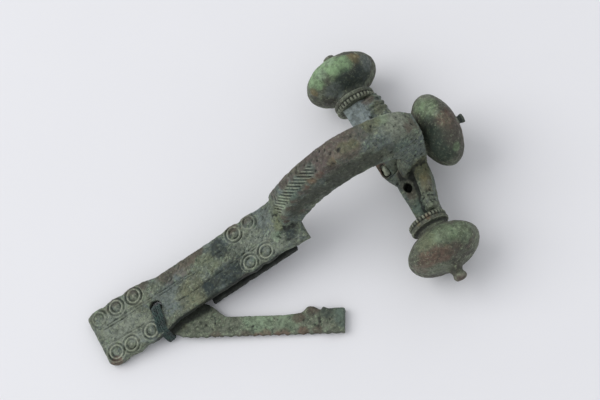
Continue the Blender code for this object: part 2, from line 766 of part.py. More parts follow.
def main():
    clear_scene()
    parts = make_collection("fibula_brooch")
    shapes = make_collection("joined_shapes_and_cutters")
    bronze = make_material("patinated_bronze", (0.20, 0.24, 0.20), 0.7, 0.25)
    knob_bronze = make_material("knob_bronze", (0.17, 0.23, 0.19), 0.65, 0.25)
    strip_bronze = make_material("strip_bronze", (0.24, 0.30, 0.25), 0.7, 0.2)
    rod_bronze = make_material("rod_bronze", (0.30, 0.30, 0.26), 0.6, 0.3)
    thread_fibre = make_material("dark_green_thread", (0.02, 0.09, 0.09), 0.9, 0.0)

    casting, helpers = build_casting(parts, shapes, bronze)
    arm_to_knob = KNOB_FROM_MIDDLE - ARM_END - PIECE_GAP - KNOB_HALF_THICK
    left, left_helpers = build_knob("left_knob", arm_to_knob, LEFT_FINIAL, side_knob_place(1.0),
                                    (parts, shapes), knob_bronze)
    right, right_helpers = build_knob("right_knob", arm_to_knob, RIGHT_FINIAL, side_knob_place(-1.0),
                                      (parts, shapes), knob_bronze)
    head, head_helpers = build_knob("head_knob", 0.0, HEAD_FINIAL, head_knob_place(),
                                    (parts, shapes), knob_bronze)
    rod = build_rod(parts, rod_bronze)
    strip = build_strip(parts, strip_bronze)
    thread = build_thread(parts, thread_fibre)
    helpers = helpers + left_helpers + right_helpers + head_helpers

    table = make_guide("table_guide", shapes, Matrix.Identity(4))
    lying = Matrix.Rotation(table_angle(), 4, "Y") @ Matrix.Translation((0.0, 0.0, FOOT_THICK))
    brooch = make_guide("lying_brooch_guide", shapes, lying)
    brooch.parent = table
    strip.parent = table
    for item in [casting, left, right, head, rod, thread] + helpers:
        item.parent = brooch
    for item in helpers:
        hide_helper(item)
    pieces = [casting, left, right, head, rod, strip, thread]
    for item in pieces:
        shade(item)
    low, high = world_box(pieces)
    table.location = (-0.5 * (low.x + high.x), -0.5 * (low.y + high.y), -low.z)


main()
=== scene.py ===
"""The looks of a corroded bronze crossbow brooch that lies on a pale table.

Each piece is worked in the brooch frame, in millimetres: x from the foot's end to the head, y to
the left knob, z up from the foot's top face. It goes back to its place on the table at the end.
"""
import json
import math

import bmesh
import bpy
import numpy as np
from mathutils import Matrix, Vector, noise


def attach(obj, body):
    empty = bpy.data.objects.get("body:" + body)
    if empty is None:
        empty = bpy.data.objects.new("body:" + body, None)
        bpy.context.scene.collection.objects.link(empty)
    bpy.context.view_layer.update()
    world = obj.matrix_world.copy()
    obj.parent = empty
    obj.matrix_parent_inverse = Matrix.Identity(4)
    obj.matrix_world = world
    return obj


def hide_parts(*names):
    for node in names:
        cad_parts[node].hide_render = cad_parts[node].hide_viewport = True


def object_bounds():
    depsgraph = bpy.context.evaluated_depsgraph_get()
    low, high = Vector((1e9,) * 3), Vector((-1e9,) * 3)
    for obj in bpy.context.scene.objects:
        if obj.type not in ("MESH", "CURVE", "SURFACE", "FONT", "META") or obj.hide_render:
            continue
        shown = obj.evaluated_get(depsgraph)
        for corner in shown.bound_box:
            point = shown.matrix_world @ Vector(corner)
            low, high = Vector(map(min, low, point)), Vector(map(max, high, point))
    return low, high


MM = 0.001

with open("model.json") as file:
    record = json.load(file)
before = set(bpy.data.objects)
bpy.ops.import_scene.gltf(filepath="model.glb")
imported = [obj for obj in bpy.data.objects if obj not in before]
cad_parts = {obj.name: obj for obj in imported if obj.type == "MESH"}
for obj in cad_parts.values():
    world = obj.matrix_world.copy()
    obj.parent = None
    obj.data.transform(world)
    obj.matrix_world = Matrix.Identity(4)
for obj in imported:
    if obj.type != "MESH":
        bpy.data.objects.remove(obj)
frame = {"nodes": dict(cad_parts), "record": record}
cad_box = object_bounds()

# Where the sheath's mount lies in the brooch frame
MOUNT_ON_BROOCH = Vector((36.0, 0.0, -5.5))

# Grain of the worked surfaces
CASTING_GRAIN = 0.26
KNOB_GRAIN = 0.24
STRIP_GRAIN = 0.22
ROD_GRAIN = 0.12

# Values of the hollowness mark, which paints dirt and shade dark in hollows and wear and highlights
# pale on edges: a share for all edges and bumps, and values at some places
EDGE_WEAR_AND_HIGHLIGHT = 0.5
FLANK_PAINTED_SHADE = 0.40
STRIP_SIDE_DARKENING = 0.38
FOOT_SIDE_PAINTED_SHADE = 0.8
RIDGE_WEAR_AND_HIGHLIGHT = 0.40

# Foot plate
FOOT_LENGTH = 47.7
FOOT_END_HALF_WIDTH = 5.85
FOOT_WAIST_HALF_WIDTH = 5.05
FOOT_HEAD_HALF_WIDTH = 5.7
RAMP_START = 40.5
HOLE_PLACE = (13.8, -0.3)
HOLE_RADIUS = 1.3

# Ring punches: x and y of each, and how much of it is left by wear
RING_PLACES = (
    (2.3, 4.15, 0.6), (6.55, 4.3, 0.95), (10.8, 4.2, 1.0),
    (2.4, -3.85, 1.0), (5.9, -4.2, 1.0), (10.8, -4.1, 1.0),
    (34.85, 3.45, 0.95), (38.5, 3.8, 0.65), (35.0, -3.65, 1.0), (38.9, -3.45, 1.0),
)
OUTER_RING = 1.72
INNER_RING = 0.98
MIDDLE_RING = 0.5 * (OUTER_RING + INNER_RING)
RING_CUT = 0.17
RING_DEPTH = 0.36

# Scribed lines: where each starts and stops along the foot, and how far from its middle there
SCRIBED_LINES = (
    (1.5, 24.5, 2.15, 1.55), (1.5, 24.5, 1.6, 1.0), (26.0, 40.0, 1.9, 1.7),
    (2.5, 13.0, -1.75, -2.2), (18.0, 40.0, -2.0, -1.7), (29.0, 40.0, -1.45, -1.2),
)
LINE_CUT = 0.14
LINE_DEPTH = 0.26
MIDDLE_STROKE_DEPTH = 0.12
STROKE_DEPTH = 0.13

# Bow, with its middle line's lean to the left at five places along it
BOW_START = 44.1
BOW_LEAN_AT = (44.1, 50.0, 56.6, 63.2, 69.8)
BOW_LEAN = (1.6, 1.14, 0.69, 0.27, 0.02)
HATCH_START = BOW_START + 1.0
HATCH_LOWEST = 2.2
HATCH_PITCH = 1.05
HATCH_SLANT = 1.33
HATCH_DEPTH = 0.30
FAINT_PITCH = 1.5
FAINT_SLANT = -0.9

# Crossbar and knobs, with places along the crossbar counted out from its middle
RIB_START = 10.0
RIB_PITCH = 1.1
RIB_BEAD_PITCH = 0.95
KNOB_AXIS = (68.5, -6.3)
KNOB_FROM_MIDDLE = 21.1
HEAD_KNOB_MIDDLE = (79.7, 0.0, -5.3)
HEAD_DROOP = math.radians(17.6)
COLLAR_RADIUS = 4.35
COLLAR_BEADS = 33
BEAD_ROW = 14.9
DISC_START = 15.38
DISC_MIDDLE = 15.85
COLLAR_END = 16.36
RIGHT_COLLAR_SHARE = 0.93
PLAIN_KNOB_START = 16.4

# Finials of the side knobs: distances from the knob's middle, and how much wider each is there
LEFT_FINIAL = ((4.2, 4.9, 5.3, 5.8), (1.0, 1.18, 1.06, 1.0))
RIGHT_FINIAL = ((3.6, 4.4, 5.0, 5.7, 6.4, 7.1), (1.0, 1.35, 1.22, 1.02, 1.15, 1.0))

# Strip: the way it runs, the way to its scalloped edge, and how its other edge sinks
STRIP_ALONG = (0.878, -0.479)
STRIP_ACROSS = (-0.479, -0.878)
SCALLOP_PITCH = 1.6
SCALLOP_DEPTH = 0.45
EDGE_AT = (37.5, 38.5, 40.3, 41.4, 42.9, 44.9, 46.0)
EDGE_SINKS = (0.0, 0.1, 0.34, 0.55, 0.2, 0.4, 0.0)

# Thread, with the radius of its plies; one turn's path is given in y and z
THREAD_TURNS = 5
THREAD_SPACING = 0.42
THREAD_PLY = 0.15
THREAD_TWIST = 1.3
THREAD_LEAN = 0.15
THREAD_POINTS = 260
THREAD_PATH = (
    (-0.3, -1.0), (-0.5, 0.2), (-1.9, 0.42), (-4.4, 0.45), (-5.3, 0.3), (-5.8, -0.9),
    (-6.3, -2.0), (-6.8, -3.0), (-6.5, -3.95), (-4.2, -4.0), (-2.4, -4.0), (-0.6, -3.5),
    (-0.3, -2.6),
)

# Camera in the brooch frame, in mm, found by fitting its view to the photo's
LENS = 116.9
CAMERA_PLACE = (105.79, -143.66, 350.71)
CAMERA_RIGHT = (0.8249, -0.4635, -0.3235)
CAMERA_BACK = (0.1458, -0.3785, 0.9140)

# Light and table, in metres and watts
ROOM_COLOUR = (0.95, 0.97, 1.0, 1.0)
ROOM_STRENGTH = 0.75
LAMP_WAY = (-0.52, 0.36, 0.77)
LAMP_DISTANCE = 1.2
LAMP_WIDTH = 1.1
LAMP_POWER = 6.7
TABLE_HALF_SIDE = 1.5


def brooch_frame():
    """The matrix from brooch millimetres to the table's metres, read from the record's mount."""
    mount = frame["record"]["mounts"][0]
    up = -Vector(mount["axis"]).normalized()
    across = Vector((0.0, 1.0, 0.0))
    along = across.cross(up).normalized()
    turn = Matrix((along, across, up)).transposed()
    origin = Vector(mount["pos_m"]) - turn @ (MOUNT_ON_BROOCH * MM)
    return Matrix.Translation(origin) @ turn.to_4x4() @ Matrix.Scale(MM, 4)


TO_TABLE = brooch_frame()


def link(name, data):
    piece = bpy.data.objects.new(name, data)
    bpy.context.scene.collection.objects.link(piece)
    return piece


def merged_copy(node):
    """A CAD node's shape in the brooch frame, its loose triangles joined."""
    shape = bmesh.new()
    shape.from_mesh(frame["nodes"][node].data)
    bmesh.ops.transform(shape, matrix=TO_TABLE.inverted(), verts=shape.verts)
    bmesh.ops.remove_doubles(shape, verts=shape.verts, dist=0.004)
    return shape


def evened(shape, name, grain):
    """A new piece with the shape's surface in small even faces."""
    mesh = bpy.data.meshes.new(name)
    shape.to_mesh(mesh)
    shape.free()
    piece = link(name, mesh)
    even = piece.modifiers.new("even_faces", "REMESH")
    even.mode = "VOXEL"
    even.voxel_size = grain
    graph = bpy.context.evaluated_depsgraph_get()
    fine = bpy.data.meshes.new_from_object(piece.evaluated_get(graph))
    piece.modifiers.clear()
    piece.data = fine
    fine.name = name
    return piece


def rounded(piece, turns, finer_where=None):
    """Eases the corners, then splits the faces once more where finer_where says so."""
    shape = bmesh.new()
    shape.from_mesh(piece.data)
    for _ in range(turns):
        bmesh.ops.smooth_vert(shape, verts=shape.verts, factor=0.5,
                              use_axis_x=True, use_axis_y=True, use_axis_z=True)
    if finer_where is not None:
        shape.normal_update()
        edges = [e for e in shape.edges if all(finer_where(v.co, v.normal) for v in e.verts)]
        bmesh.ops.subdivide_edges(shape, edges=edges, cuts=1, use_grid_fill=True)
    bmesh.ops.recalc_face_normals(shape, faces=shape.faces)
    shape.to_mesh(piece.data)
    shape.free()
    piece.data.update()


def points_of(mesh):
    points = np.empty(len(mesh.vertices) * 3)
    mesh.vertices.foreach_get("co", points)
    return points.reshape(-1, 3)


def normals_of(mesh):
    normals = np.empty(len(mesh.vertices) * 3)
    mesh.vertices.foreach_get("normal", normals)
    return normals.reshape(-1, 3)


def move_points(mesh, points):
    mesh.vertices.foreach_set("co", points.ravel())
    mesh.update()


def wobble(points, size, seed):
    """A smooth random value from -1 to 1 for each point; size is that of its bumps in mm."""
    shift = Vector((seed * 17.3, seed * 5.1, seed * 9.7))
    return np.array([noise.noise(Vector(point) / size + shift) for point in points])


def rough(points, size, seed):
    """The same with finer bumps upon the larger ones."""
    shift = Vector((seed * 11.9, seed * 3.7, seed * 7.3))
    return np.array([noise.fractal(Vector(point) / size + shift, 0.9, 2.1, 4) for point in points])


def eased(low, high, values):
    """0 up to low and 1 from high on, with a smooth rise between."""
    t = np.clip((values - low) / (high - low), 0.0, 1.0)
    return t * t * (3.0 - 2.0 * t)


def span(rise, top, drop, end, values):
    """1 from top to drop, fading out to 0 at rise and at end."""
    return eased(rise, top, values) * (1.0 - eased(drop, end, values))


def groove(distance, half_width):
    """The section of a cut: 1 at its middle, fading out beyond its half width."""
    return np.exp(-((distance / half_width) ** 2))


def bulge(distance, half_width):
    """The section of a round moulding: 1 at its middle, 0 beyond its half width."""
    return np.sqrt(np.clip(1.0 - (distance / half_width) ** 2, 0.0, 1.0))


def off_stroke(count):
    """How far each count along a row of strokes is from the nearest stroke."""
    return np.abs(count % 1.0 - 0.5)


def neighbour_means(mesh):
    """A function that gives each vertex the mean of its neighbours' values or places."""
    ends = np.empty(len(mesh.edges) * 2, int)
    mesh.edges.foreach_get("vertices", ends)
    a, b = ends.reshape(-1, 2).T
    vertices = len(mesh.vertices)
    count = np.maximum(np.bincount(a, minlength=vertices) + np.bincount(b, minlength=vertices), 1)

    def means(values):
        if values.ndim == 2:
            return np.stack([means(column) for column in values.T], axis=1)
        sums = np.bincount(a, values[b], vertices) + np.bincount(b, values[a], vertices)
        return sums / count

    return means


def hollowness(mesh, rounds):
    """Positive in grooves and corners, negative on edges and bumps, about -1 to 1."""
    points, normals = points_of(mesh), normals_of(mesh)
    means = neighbour_means(mesh)
    hollow = ((means(points) - points) * normals).sum(1)
    for _ in range(rounds):
        hollow = 0.4 * hollow + 0.6 * means(hollow)
    hollow -= np.median(hollow)
    return np.clip(hollow / (3.0 * hollow.std()), -1.0, 1.0)


def set_value(mesh, name, values):
    attribute = mesh.attributes.new(name, "FLOAT", "POINT")
    attribute.data.foreach_set("value", values.astype(np.float32))


def set_tint(mesh, tint):
    attribute = mesh.attributes.new("patches", "FLOAT_COLOR", "POINT")
    attribute.data.foreach_set("color", tint.astype(np.float32).ravel())


# Colours of the corroded bronze, linear
TONES = {
    "slate": (0.016, 0.027, 0.028),
    "blue_grey": (0.120, 0.145, 0.138),
    "grey_green": (0.138, 0.155, 0.112),
    "teal": (0.085, 0.130, 0.108),
    "bright_green": (0.225, 0.345, 0.180),
    "yellow_green": (0.145, 0.165, 0.085),
    "olive": (0.125, 0.125, 0.062),
    "mint": (0.250, 0.345, 0.220),
    "sky_grey": (0.265, 0.310, 0.312),
    "dark_red": (0.080, 0.050, 0.038),
    "crumbs": (0.380, 0.440, 0.290),
    "pale_grey": (0.340, 0.362, 0.275),
    "taupe": (0.135, 0.108, 0.084),
    "purple_brown": (0.092, 0.066, 0.058),
    "dark_taupe": (0.060, 0.055, 0.044),
    "dark_olive": (0.046, 0.050, 0.036),
    "brown": (0.085, 0.062, 0.048),
    "red_brown": (0.140, 0.078, 0.056),
    "orange_brown": (0.175, 0.105, 0.062),
    "pale_green": (0.215, 0.238, 0.185),
    "yellow_brown": (0.190, 0.150, 0.070),
    "dark_green": (0.030, 0.046, 0.034),
    "black": (0.010, 0.012, 0.010),
}


def patched(points, patches, seed):
    """Tint and strength at each point, from patches of (centre, radius, tone, strength)."""
    ragged = 0.45 * wobble(points, 2.2, seed) + 0.35 * wobble(points, 0.7, seed + 1)
    tint = np.zeros((len(points), 4))
    for centre, radius, tone, strength in patches:
        distance = np.linalg.norm(points - np.array(centre), axis=1) / radius
        weight = strength * (1.0 - eased(0.55, 1.05, distance + 0.55 * ragged))
        total = weight + tint[:, 3] * (1.0 - weight)
        share = weight / np.maximum(total, 1e-6)
        tint[:, :3] += (np.array(TONES[tone]) - tint[:, :3]) * share[:, None]
        tint[:, 3] = total
    return tint


def finish_piece(piece, node, material, patches, seed, shade=None):
    """Marks hollows and patches, sets the piece on the table and puts it in its node's place."""
    mesh = piece.data
    # Hollowness: positive darkens, with dirt in grooves and painted shade in large corners;
    # negative lightens edges
    hollow = np.clip(hollowness(mesh, 2) + 0.5 * hollowness(mesh, 12), -1.0, 1.0)
    # Edges and bumps are lightened less: pale wear, and painted highlight
    hollow *= np.where(hollow < 0.0, EDGE_WEAR_AND_HIGHLIGHT, 1.0)
    if shade is not None:
        hollow = shade(points_of(mesh), normals_of(mesh), hollow)
    set_value(mesh, "hollow", hollow)
    set_tint(mesh, patched(points_of(mesh), patches, seed))
    mesh.transform(TO_TABLE)
    move_points(mesh, np.clip(points_of(mesh), *cad_box))
    mesh.shade_smooth()
    mesh.materials.clear()
    mesh.materials.append(material)
    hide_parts(node)
    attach(piece, "root")


# Materials

class Nodes:
    """A material's node tree, with its nodes added and joined by short calls."""

    def __init__(self, name):
        self.material = bpy.data.materials.new(name)
        self.material.use_nodes = True
        self.tree = self.material.node_tree
        self.shader = self.tree.nodes["Principled BSDF"]
        self.place = self.add("ShaderNodeTexCoord").outputs["Object"]

    def add(self, kind, **settings):
        node = self.tree.nodes.new(kind)
        for key, value in settings.items():
            setattr(node, key, value)
        return node

    def join(self, source, target):
        self.tree.links.new(source, target)

    def noise(self, size, detail=4.0, roughness=0.6, distortion=0.0):
        """Noise with bumps of about that many mm."""
        node = self.add("ShaderNodeTexNoise")
        node.inputs["Scale"].default_value = 1.0 / (size * MM)
        node.inputs["Detail"].default_value = detail
        node.inputs["Roughness"].default_value = roughness
        node.inputs["Distortion"].default_value = distortion
        self.join(self.place, node.inputs["Vector"])
        return node.outputs["Fac"]

    def between(self, value, low, high, start=0.0, stop=1.0):
        """A smooth change from start to stop while the value goes from low to high."""
        node = self.add("ShaderNodeMapRange", interpolation_type="SMOOTHSTEP")
        node.inputs["From Min"].default_value = low
        node.inputs["From Max"].default_value = high
        node.inputs["To Min"].default_value = start
        node.inputs["To Max"].default_value = stop
        self.join(value, node.inputs["Value"])
        return node.outputs["Result"]

    def product(self, a, b):
        """Two values multiplied."""
        node = self.add("ShaderNodeMath", operation="MULTIPLY")
        self.join(a, node.inputs[0])
        self.join(b, node.inputs[1])
        return node.outputs[0]

    def blend(self, share, low, high):
        """Two colours mixed by a share; either may be a colour or another node's output."""
        node = self.add("ShaderNodeMix", data_type="RGBA")
        self.join(share, node.inputs["Factor"])
        for socket, colour in ((node.inputs[6], low), (node.inputs[7], high)):
            if isinstance(colour, tuple):
                socket.default_value = (*colour, 1.0)
            else:
                self.join(colour, socket)
        return node.outputs[2]

    def attribute(self, name):
        return self.add("ShaderNodeAttribute", attribute_name=name).outputs

    def bumps(self, height, strength, depth):
        """Fine bumps on the surface, depth mm high."""
        node = self.add("ShaderNodeBump")
        node.inputs["Strength"].default_value = strength
        node.inputs["Distance"].default_value = depth * MM
        self.join(height, node.inputs["Height"])
        self.join(node.outputs["Normal"], self.shader.inputs["Normal"])


def patinated_bronze(name, ground, cloud, bloom, stain, speckle=0.80):
    """Corroded bronze: a ground tone with clouds, bloom, stains and patches, black in hollows for
    dirt and painted shade, and pale edges for wear and painted highlight.
    """
    nodes = Nodes(name)
    half = nodes.between(nodes.noise(0.8, 3.0), 0.3, 0.7, 0.35, 0.75)
    clouds = nodes.between(nodes.noise(5.0, 6.0, 0.68, 0.5), 0.40, 0.60)
    colour = nodes.blend(clouds, TONES[ground], TONES[cloud])
    stains = nodes.between(nodes.noise(3.1, 6.0, 0.72), 0.60, 0.68, 0.0, 0.75)
    colour = nodes.blend(stains, colour, TONES[stain])
    bloomed = nodes.between(nodes.noise(0.95, 7.0, 0.78), 0.54, 0.62, 0.0, 0.55)
    colour = nodes.blend(bloomed, colour, TONES[bloom])
    patches = nodes.attribute("patches")
    broken = nodes.between(nodes.noise(0.7, 5.0, 0.75), 0.36, 0.50, 0.74, 1.0)
    colour = nodes.blend(nodes.product(patches["Alpha"], broken), colour, patches["Color"])
    mottled = nodes.between(nodes.noise(1.6, 6.0, 0.75), 0.44, 0.58, 0.0, 0.45)
    colour = nodes.blend(mottled, colour, TONES["dark_olive"])
    crumbs = nodes.between(nodes.noise(0.55, 5.0, 0.75), 0.53, 0.63, 0.0, 0.42)
    tinted_crumbs = nodes.blend(half, TONES["crumbs"], patches["Color"])
    on_patch = nodes.between(patches["Alpha"], 0.2, 0.9)
    colour = nodes.blend(crumbs, colour, nodes.blend(on_patch, TONES["crumbs"], tinted_crumbs))
    grit = nodes.between(nodes.noise(0.62, 5.0, 0.75), 0.52, 0.64, 0.0, speckle)
    grit = nodes.product(grit, nodes.between(patches["Alpha"], 0.5, 1.0, 1.0, 0.6))
    colour = nodes.blend(grit, colour, TONES["dark_green"])
    hollow = nodes.attribute("hollow")["Fac"]
    # Black in hollows: dirt in grooves, and painted shade in large corners, the sheath and the
    # right side faces
    colour = nodes.blend(nodes.between(hollow, 0.10, 0.9, 0.0, 0.85), colour, TONES["black"])
    # Pale on edges and ridges: wear, and painted highlight
    worn = nodes.between(hollow, -0.06, -0.42, 0.0, 0.80)
    scuffed = nodes.between(nodes.noise(0.6, 6.0, 0.75), 0.42, 0.56, 0.25, 1.0)
    colour = nodes.blend(nodes.product(worn, scuffed), colour, TONES["pale_grey"])
    dull = nodes.between(nodes.noise(0.8, 5.0), 0.3, 0.7, 0.52, 0.85)
    nodes.join(colour, nodes.shader.inputs["Base Color"])
    nodes.join(dull, nodes.shader.inputs["Roughness"])
    nodes.shader.inputs["Metallic"].default_value = 0.08
    nodes.shader.inputs["Specular IOR Level"].default_value = 0.35
    nodes.bumps(nodes.noise(0.45, 7.0, 0.70), 0.7, 0.13)
    return nodes.material


# Casting

def foot_half_width(x):
    """Half the foot plate's width at each place along it, with a scallop at each ring punch."""
    width = FOOT_END_HALF_WIDTH
    width = width + (FOOT_WAIST_HALF_WIDTH - width) * eased(13.0, 17.2, x)
    width = width + (FOOT_HEAD_HALF_WIDTH - width) * eased(40.0, FOOT_LENGTH, x)
    for place, row, _ in RING_PLACES:
        if row > 0.0:
            width = width + 0.4 * np.maximum(0.0, 1.0 - ((x - place) / 1.7) ** 2)
    return width


def on_foot_top(points):
    """1 on the foot's carved top face, fading out towards its edges, the ramp and the hole."""
    x, y, z = points.T
    inside = eased(0.1, 0.4, foot_half_width(x) - np.abs(y)) * eased(0.1, 0.4, x)
    inside = inside * (1.0 - eased(RAMP_START - 0.6, RAMP_START + 0.6, x))
    hole = np.hypot(x - HOLE_PLACE[0], y - HOLE_PLACE[1])
    return inside * eased(HOLE_RADIUS + 0.05, HOLE_RADIUS + 0.4, hole) * (z > -0.75)


def long_line(x, y, start, stop, row_start, row_stop):
    """A scribed line from start to stop along the foot, between two distances from its middle."""
    row = row_start + (row_stop - row_start) * (x - start) / (stop - start)
    ends = eased(start, start + 0.6, x) * (1.0 - eased(stop - 0.8, stop, x))
    return groove(y - row - 0.06 * np.sin(0.6 * x + row_start), LINE_CUT) * ends


def ring_punches(x, y):
    """Depth of the ring punches, and 1 within them."""
    depth = np.zeros_like(x)
    ringed = np.zeros_like(x)
    for place, row, left in RING_PLACES:
        r = np.hypot(x - place, y - row)
        cut = groove(r - OUTER_RING, RING_CUT) + 0.95 * groove(r - INNER_RING, RING_CUT)
        cut = cut - 0.45 * groove(r - MIDDLE_RING, 0.20) - 0.55 * groove(r, 0.30)
        cut = cut - 0.25 * groove(r - OUTER_RING - 0.35, 0.16)
        uneven = 0.8 + 0.35 * np.sin(2.0 * np.arctan2(y - row, x - place) + 3.0 * place)
        depth += RING_DEPTH * left * cut * uneven
        ringed = np.maximum(ringed, 1.0 - eased(1.9, 2.2, r))
    return depth, ringed


def foot_strokes(x, y):
    """Depth of the fine slanting strokes: in the middle, along the left border, and crossing."""
    away = np.abs(y)
    middle = groove(off_stroke((x + 0.8 * away) / 1.1), 0.17) * (1.0 - eased(1.0, 1.4, away))
    middle = middle * (0.3 + 0.7 * eased(24.0, 27.0, x))
    border = groove(off_stroke((x - 0.9 * away) / 1.25), 0.15) * span(2.4, 2.6, 4.4, 4.8, away)
    border = border * span(13.5, 15.0, 24.0, 27.0, x) * (y > 0.0)
    drawn = (0.84 * y - 0.54 * x + 0.12 * np.sin(1.7 * x - y)) / 0.72
    some = eased(-0.25, 0.25, np.sin(1.3 * x + 0.9 * y) + np.sin(0.7 * x - 1.9 * y))
    crossing = groove(off_stroke(drawn), 0.20) * some
    crossing = crossing * eased(17.0, 19.0, x) * (1.0 - eased(4.2, 4.8, away))
    return MIDDLE_STROKE_DEPTH * middle + STROKE_DEPTH * (border + crossing)


def carved_foot(x, y):
    """Depth of the foot's carving: ring punches, scribed lines and slanting strokes."""
    depth, ringed = ring_punches(x, y)
    lines = np.max([long_line(x, y, *line) for line in SCRIBED_LINES], axis=0)
    return depth + (LINE_DEPTH * lines + foot_strokes(x, y)) * (1.0 - ringed)


def beside_bow(x, y):
    """Distance to the left of the bow's middle line."""
    return y - np.interp(x, BOW_LEAN_AT, BOW_LEAN)


def hatch_places(points):
    """Each point's count along the bow's hatching, and 1 where the hatching reaches."""
    x, y, z = points.T
    side = beside_bow(x, y)
    count = (np.hypot(x - BOW_START, z) + HATCH_SLANT * side) / HATCH_PITCH
    reach = (1.0 - eased(56.4, 57.6, x)) * span(-2.2, -1.7, 0.2, 0.7, side)
    return count, reach * (x > HATCH_START) * (z > HATCH_LOWEST)


def bow_hatch(points, normals):
    """Depth of the slanting strokes on the bow's top face: clear near its base, then faint."""
    x, y, z = points.T
    side = beside_bow(x, y)
    count, reach = hatch_places(points)
    clear = groove(off_stroke(count), 0.20) * (0.85 + 0.15 * np.cos(2.0 * math.pi * count / 3.0))
    faint_count = (np.hypot(x - BOW_START, z) + FAINT_SLANT * side) / FAINT_PITCH
    faint = 0.25 * groove(off_stroke(faint_count), 0.16) * (1.0 - eased(66.0, 72.0, x))
    top_face = (np.abs(side) < 3.4) & (normals[:, 1] > -0.55) & (normals[:, 1] < 0.4)
    there = (x > HATCH_START) & (z > HATCH_LOWEST) & top_face
    return HATCH_DEPTH * there * np.maximum(clear * reach, faint * (1.0 - reach))


def blend_bow_base(mesh, points):
    """Lets the foot flow up into the bow's base, and widens the base on its left."""
    x, y, z = points.T
    base = span(42.8, 44.4, 49.0, 55.0, x) * eased(-0.2, 0.6, z) * eased(0.8, 3.4, y)
    points[:, 1] += 0.85 * base * np.exp(-np.maximum(z, 0.0) / 3.6)
    near = span(42.2, 43.4, 45.6, 46.6, x) * span(-1.8, -0.6, 4.9, 5.6, y)
    share = (near * span(-0.5, -0.1, 2.6, 3.8, z))[:, None]
    means = neighbour_means(mesh)
    for _ in range(34):
        points += 0.9 * share * (means(points) - points)


def worn_and_highlit_lines(points):
    """1 on the ridges painted bright, for wear and as painted highlight: round the ring punches and
    between the hatching.
    """
    x, y, z = points.T
    bright = np.zeros_like(x)
    for place, row, left in RING_PLACES:
        r = np.hypot(x - place, y - row)
        ridges = np.maximum(groove(r - MIDDLE_RING, 0.20), groove(r, 0.36))
        rim = 0.7 * groove(r - OUTER_RING - 0.36, 0.16)
        bright = np.maximum(bright, left * np.maximum(ridges, rim))
    bright = bright * (z > -0.6) * (x < RAMP_START)
    count, reach = hatch_places(points)
    return np.maximum(bright, 0.9 * groove(off_stroke(count + 0.5), 0.20) * reach)


def sheath_shade_mask(points, normals):
    """1 inside the sheath and on its open right side, where black is painted as shade."""
    x, y, z = points.T
    inside = eased(-2.0, -2.4, z) * span(16.5, 17.5, 47.0, 48.0, x) * (y > -5.6)
    return inside * (1.0 - eased(0.3, 0.7, normals[:, 1]))


def on_bow_flank(points, normals):
    """1 on the bow's right face, which is painted darker as shade."""
    x, y, z = points.T
    flank = eased(-2.25, -2.6, beside_bow(x, y)) * (normals[:, 1] < -0.2)
    return flank * span(45.0, 46.5, 66.0, 71.0, x) * eased(1.2, 2.2, z)


def on_foot_side(points, normals):
    """1 on the foot plate's right side face, under its top edge, where shade is painted."""
    x, y, z = points.T
    side = eased(-0.3, -0.7, normals[:, 1]) * eased(-0.3, -0.7, z) * (y < -3.0)
    return side * span(9.0, 11.0, 40.0, 42.0, x)


def shade_casting(points, normals, hollow):
    """Paints shade: blackens the sheath and darkens the bow's and foot's right side faces;
    brightens the ridges with wear and painted highlight.
    """
    x, y, z = points.T
    on_bow = eased(54.0, 58.0, x) * eased(6.0, 8.0, z)
    hollow = hollow * np.where(hollow < 0.0, 1.0 - 0.65 * on_bow, 1.0)
    # Painted shade on the bow's right face, which faces away from the lamp
    hollow = hollow + (FLANK_PAINTED_SHADE - hollow) * 0.85 * on_bow_flank(points, normals)
    left_arm = span(6.0, 8.0, 14.0, 14.4, y) * (1.0 - 0.5 * eased(71.0, 72.5, x))
    on_foot = (z > -0.8) * (1.0 - eased(41.0, 43.0, x)) * eased(0.3, 0.6, normals[:, 2])
    # A factor that lessens the dark hollow mark, both dirt and painted shade, on the left arm and
    # the foot's top
    less_darkening = (1.0 - 0.7 * left_arm) * (1.0 - 0.28 * on_foot)
    hollow = hollow * np.where(hollow > 0.0, less_darkening, 1.0)
    # Painted shade on the foot plate's right side face
    hollow = np.maximum(hollow, FOOT_SIDE_PAINTED_SHADE * on_foot_side(points, normals))
    # Black painted shade inside the sheath and on its open side
    sheath = sheath_shade_mask(points, normals)
    # Bright ridges: wear, and painted highlight
    bright = worn_and_highlit_lines(points) * (1.0 - sheath)
    return (hollow * (1.0 - bright) - RIDGE_WEAR_AND_HIGHLIGHT * bright) * (1.0 - sheath) + sheath


def shade_knob(points, normals, hollow):
    """Keeps a knob's plain round part evenly coloured, and its collar's beads clear."""
    away = np.abs(points[:, 1])
    return hollow * np.where((away > PLAIN_KNOB_START) | (away < 10.0), 0.4, 1.0)


def shade_strip(points, normals, hollow):
    """Darkens the side face along the strip's scalloped edge, and paints the foot's shadow on the
    strip beside the foot.
    """
    edge = eased(0.3, 0.7, normals[:, :2] @ np.array(STRIP_ACROSS))
    # Darker on the side face of the scalloped edge
    hollow = hollow * (1.0 - edge) + STRIP_SIDE_DARKENING * edge
    # Painted shadow of the foot on the strip, close beside the plate's edge
    from_foot = -points[:, 1] - foot_half_width(points[:, 0])
    foot_shadow_on_strip = (1.0 - eased(0.4, 1.6, from_foot)) * (1.0 - eased(22.0, 24.0, points[:, 0]))
    return np.maximum(hollow, 0.9 * foot_shadow_on_strip)


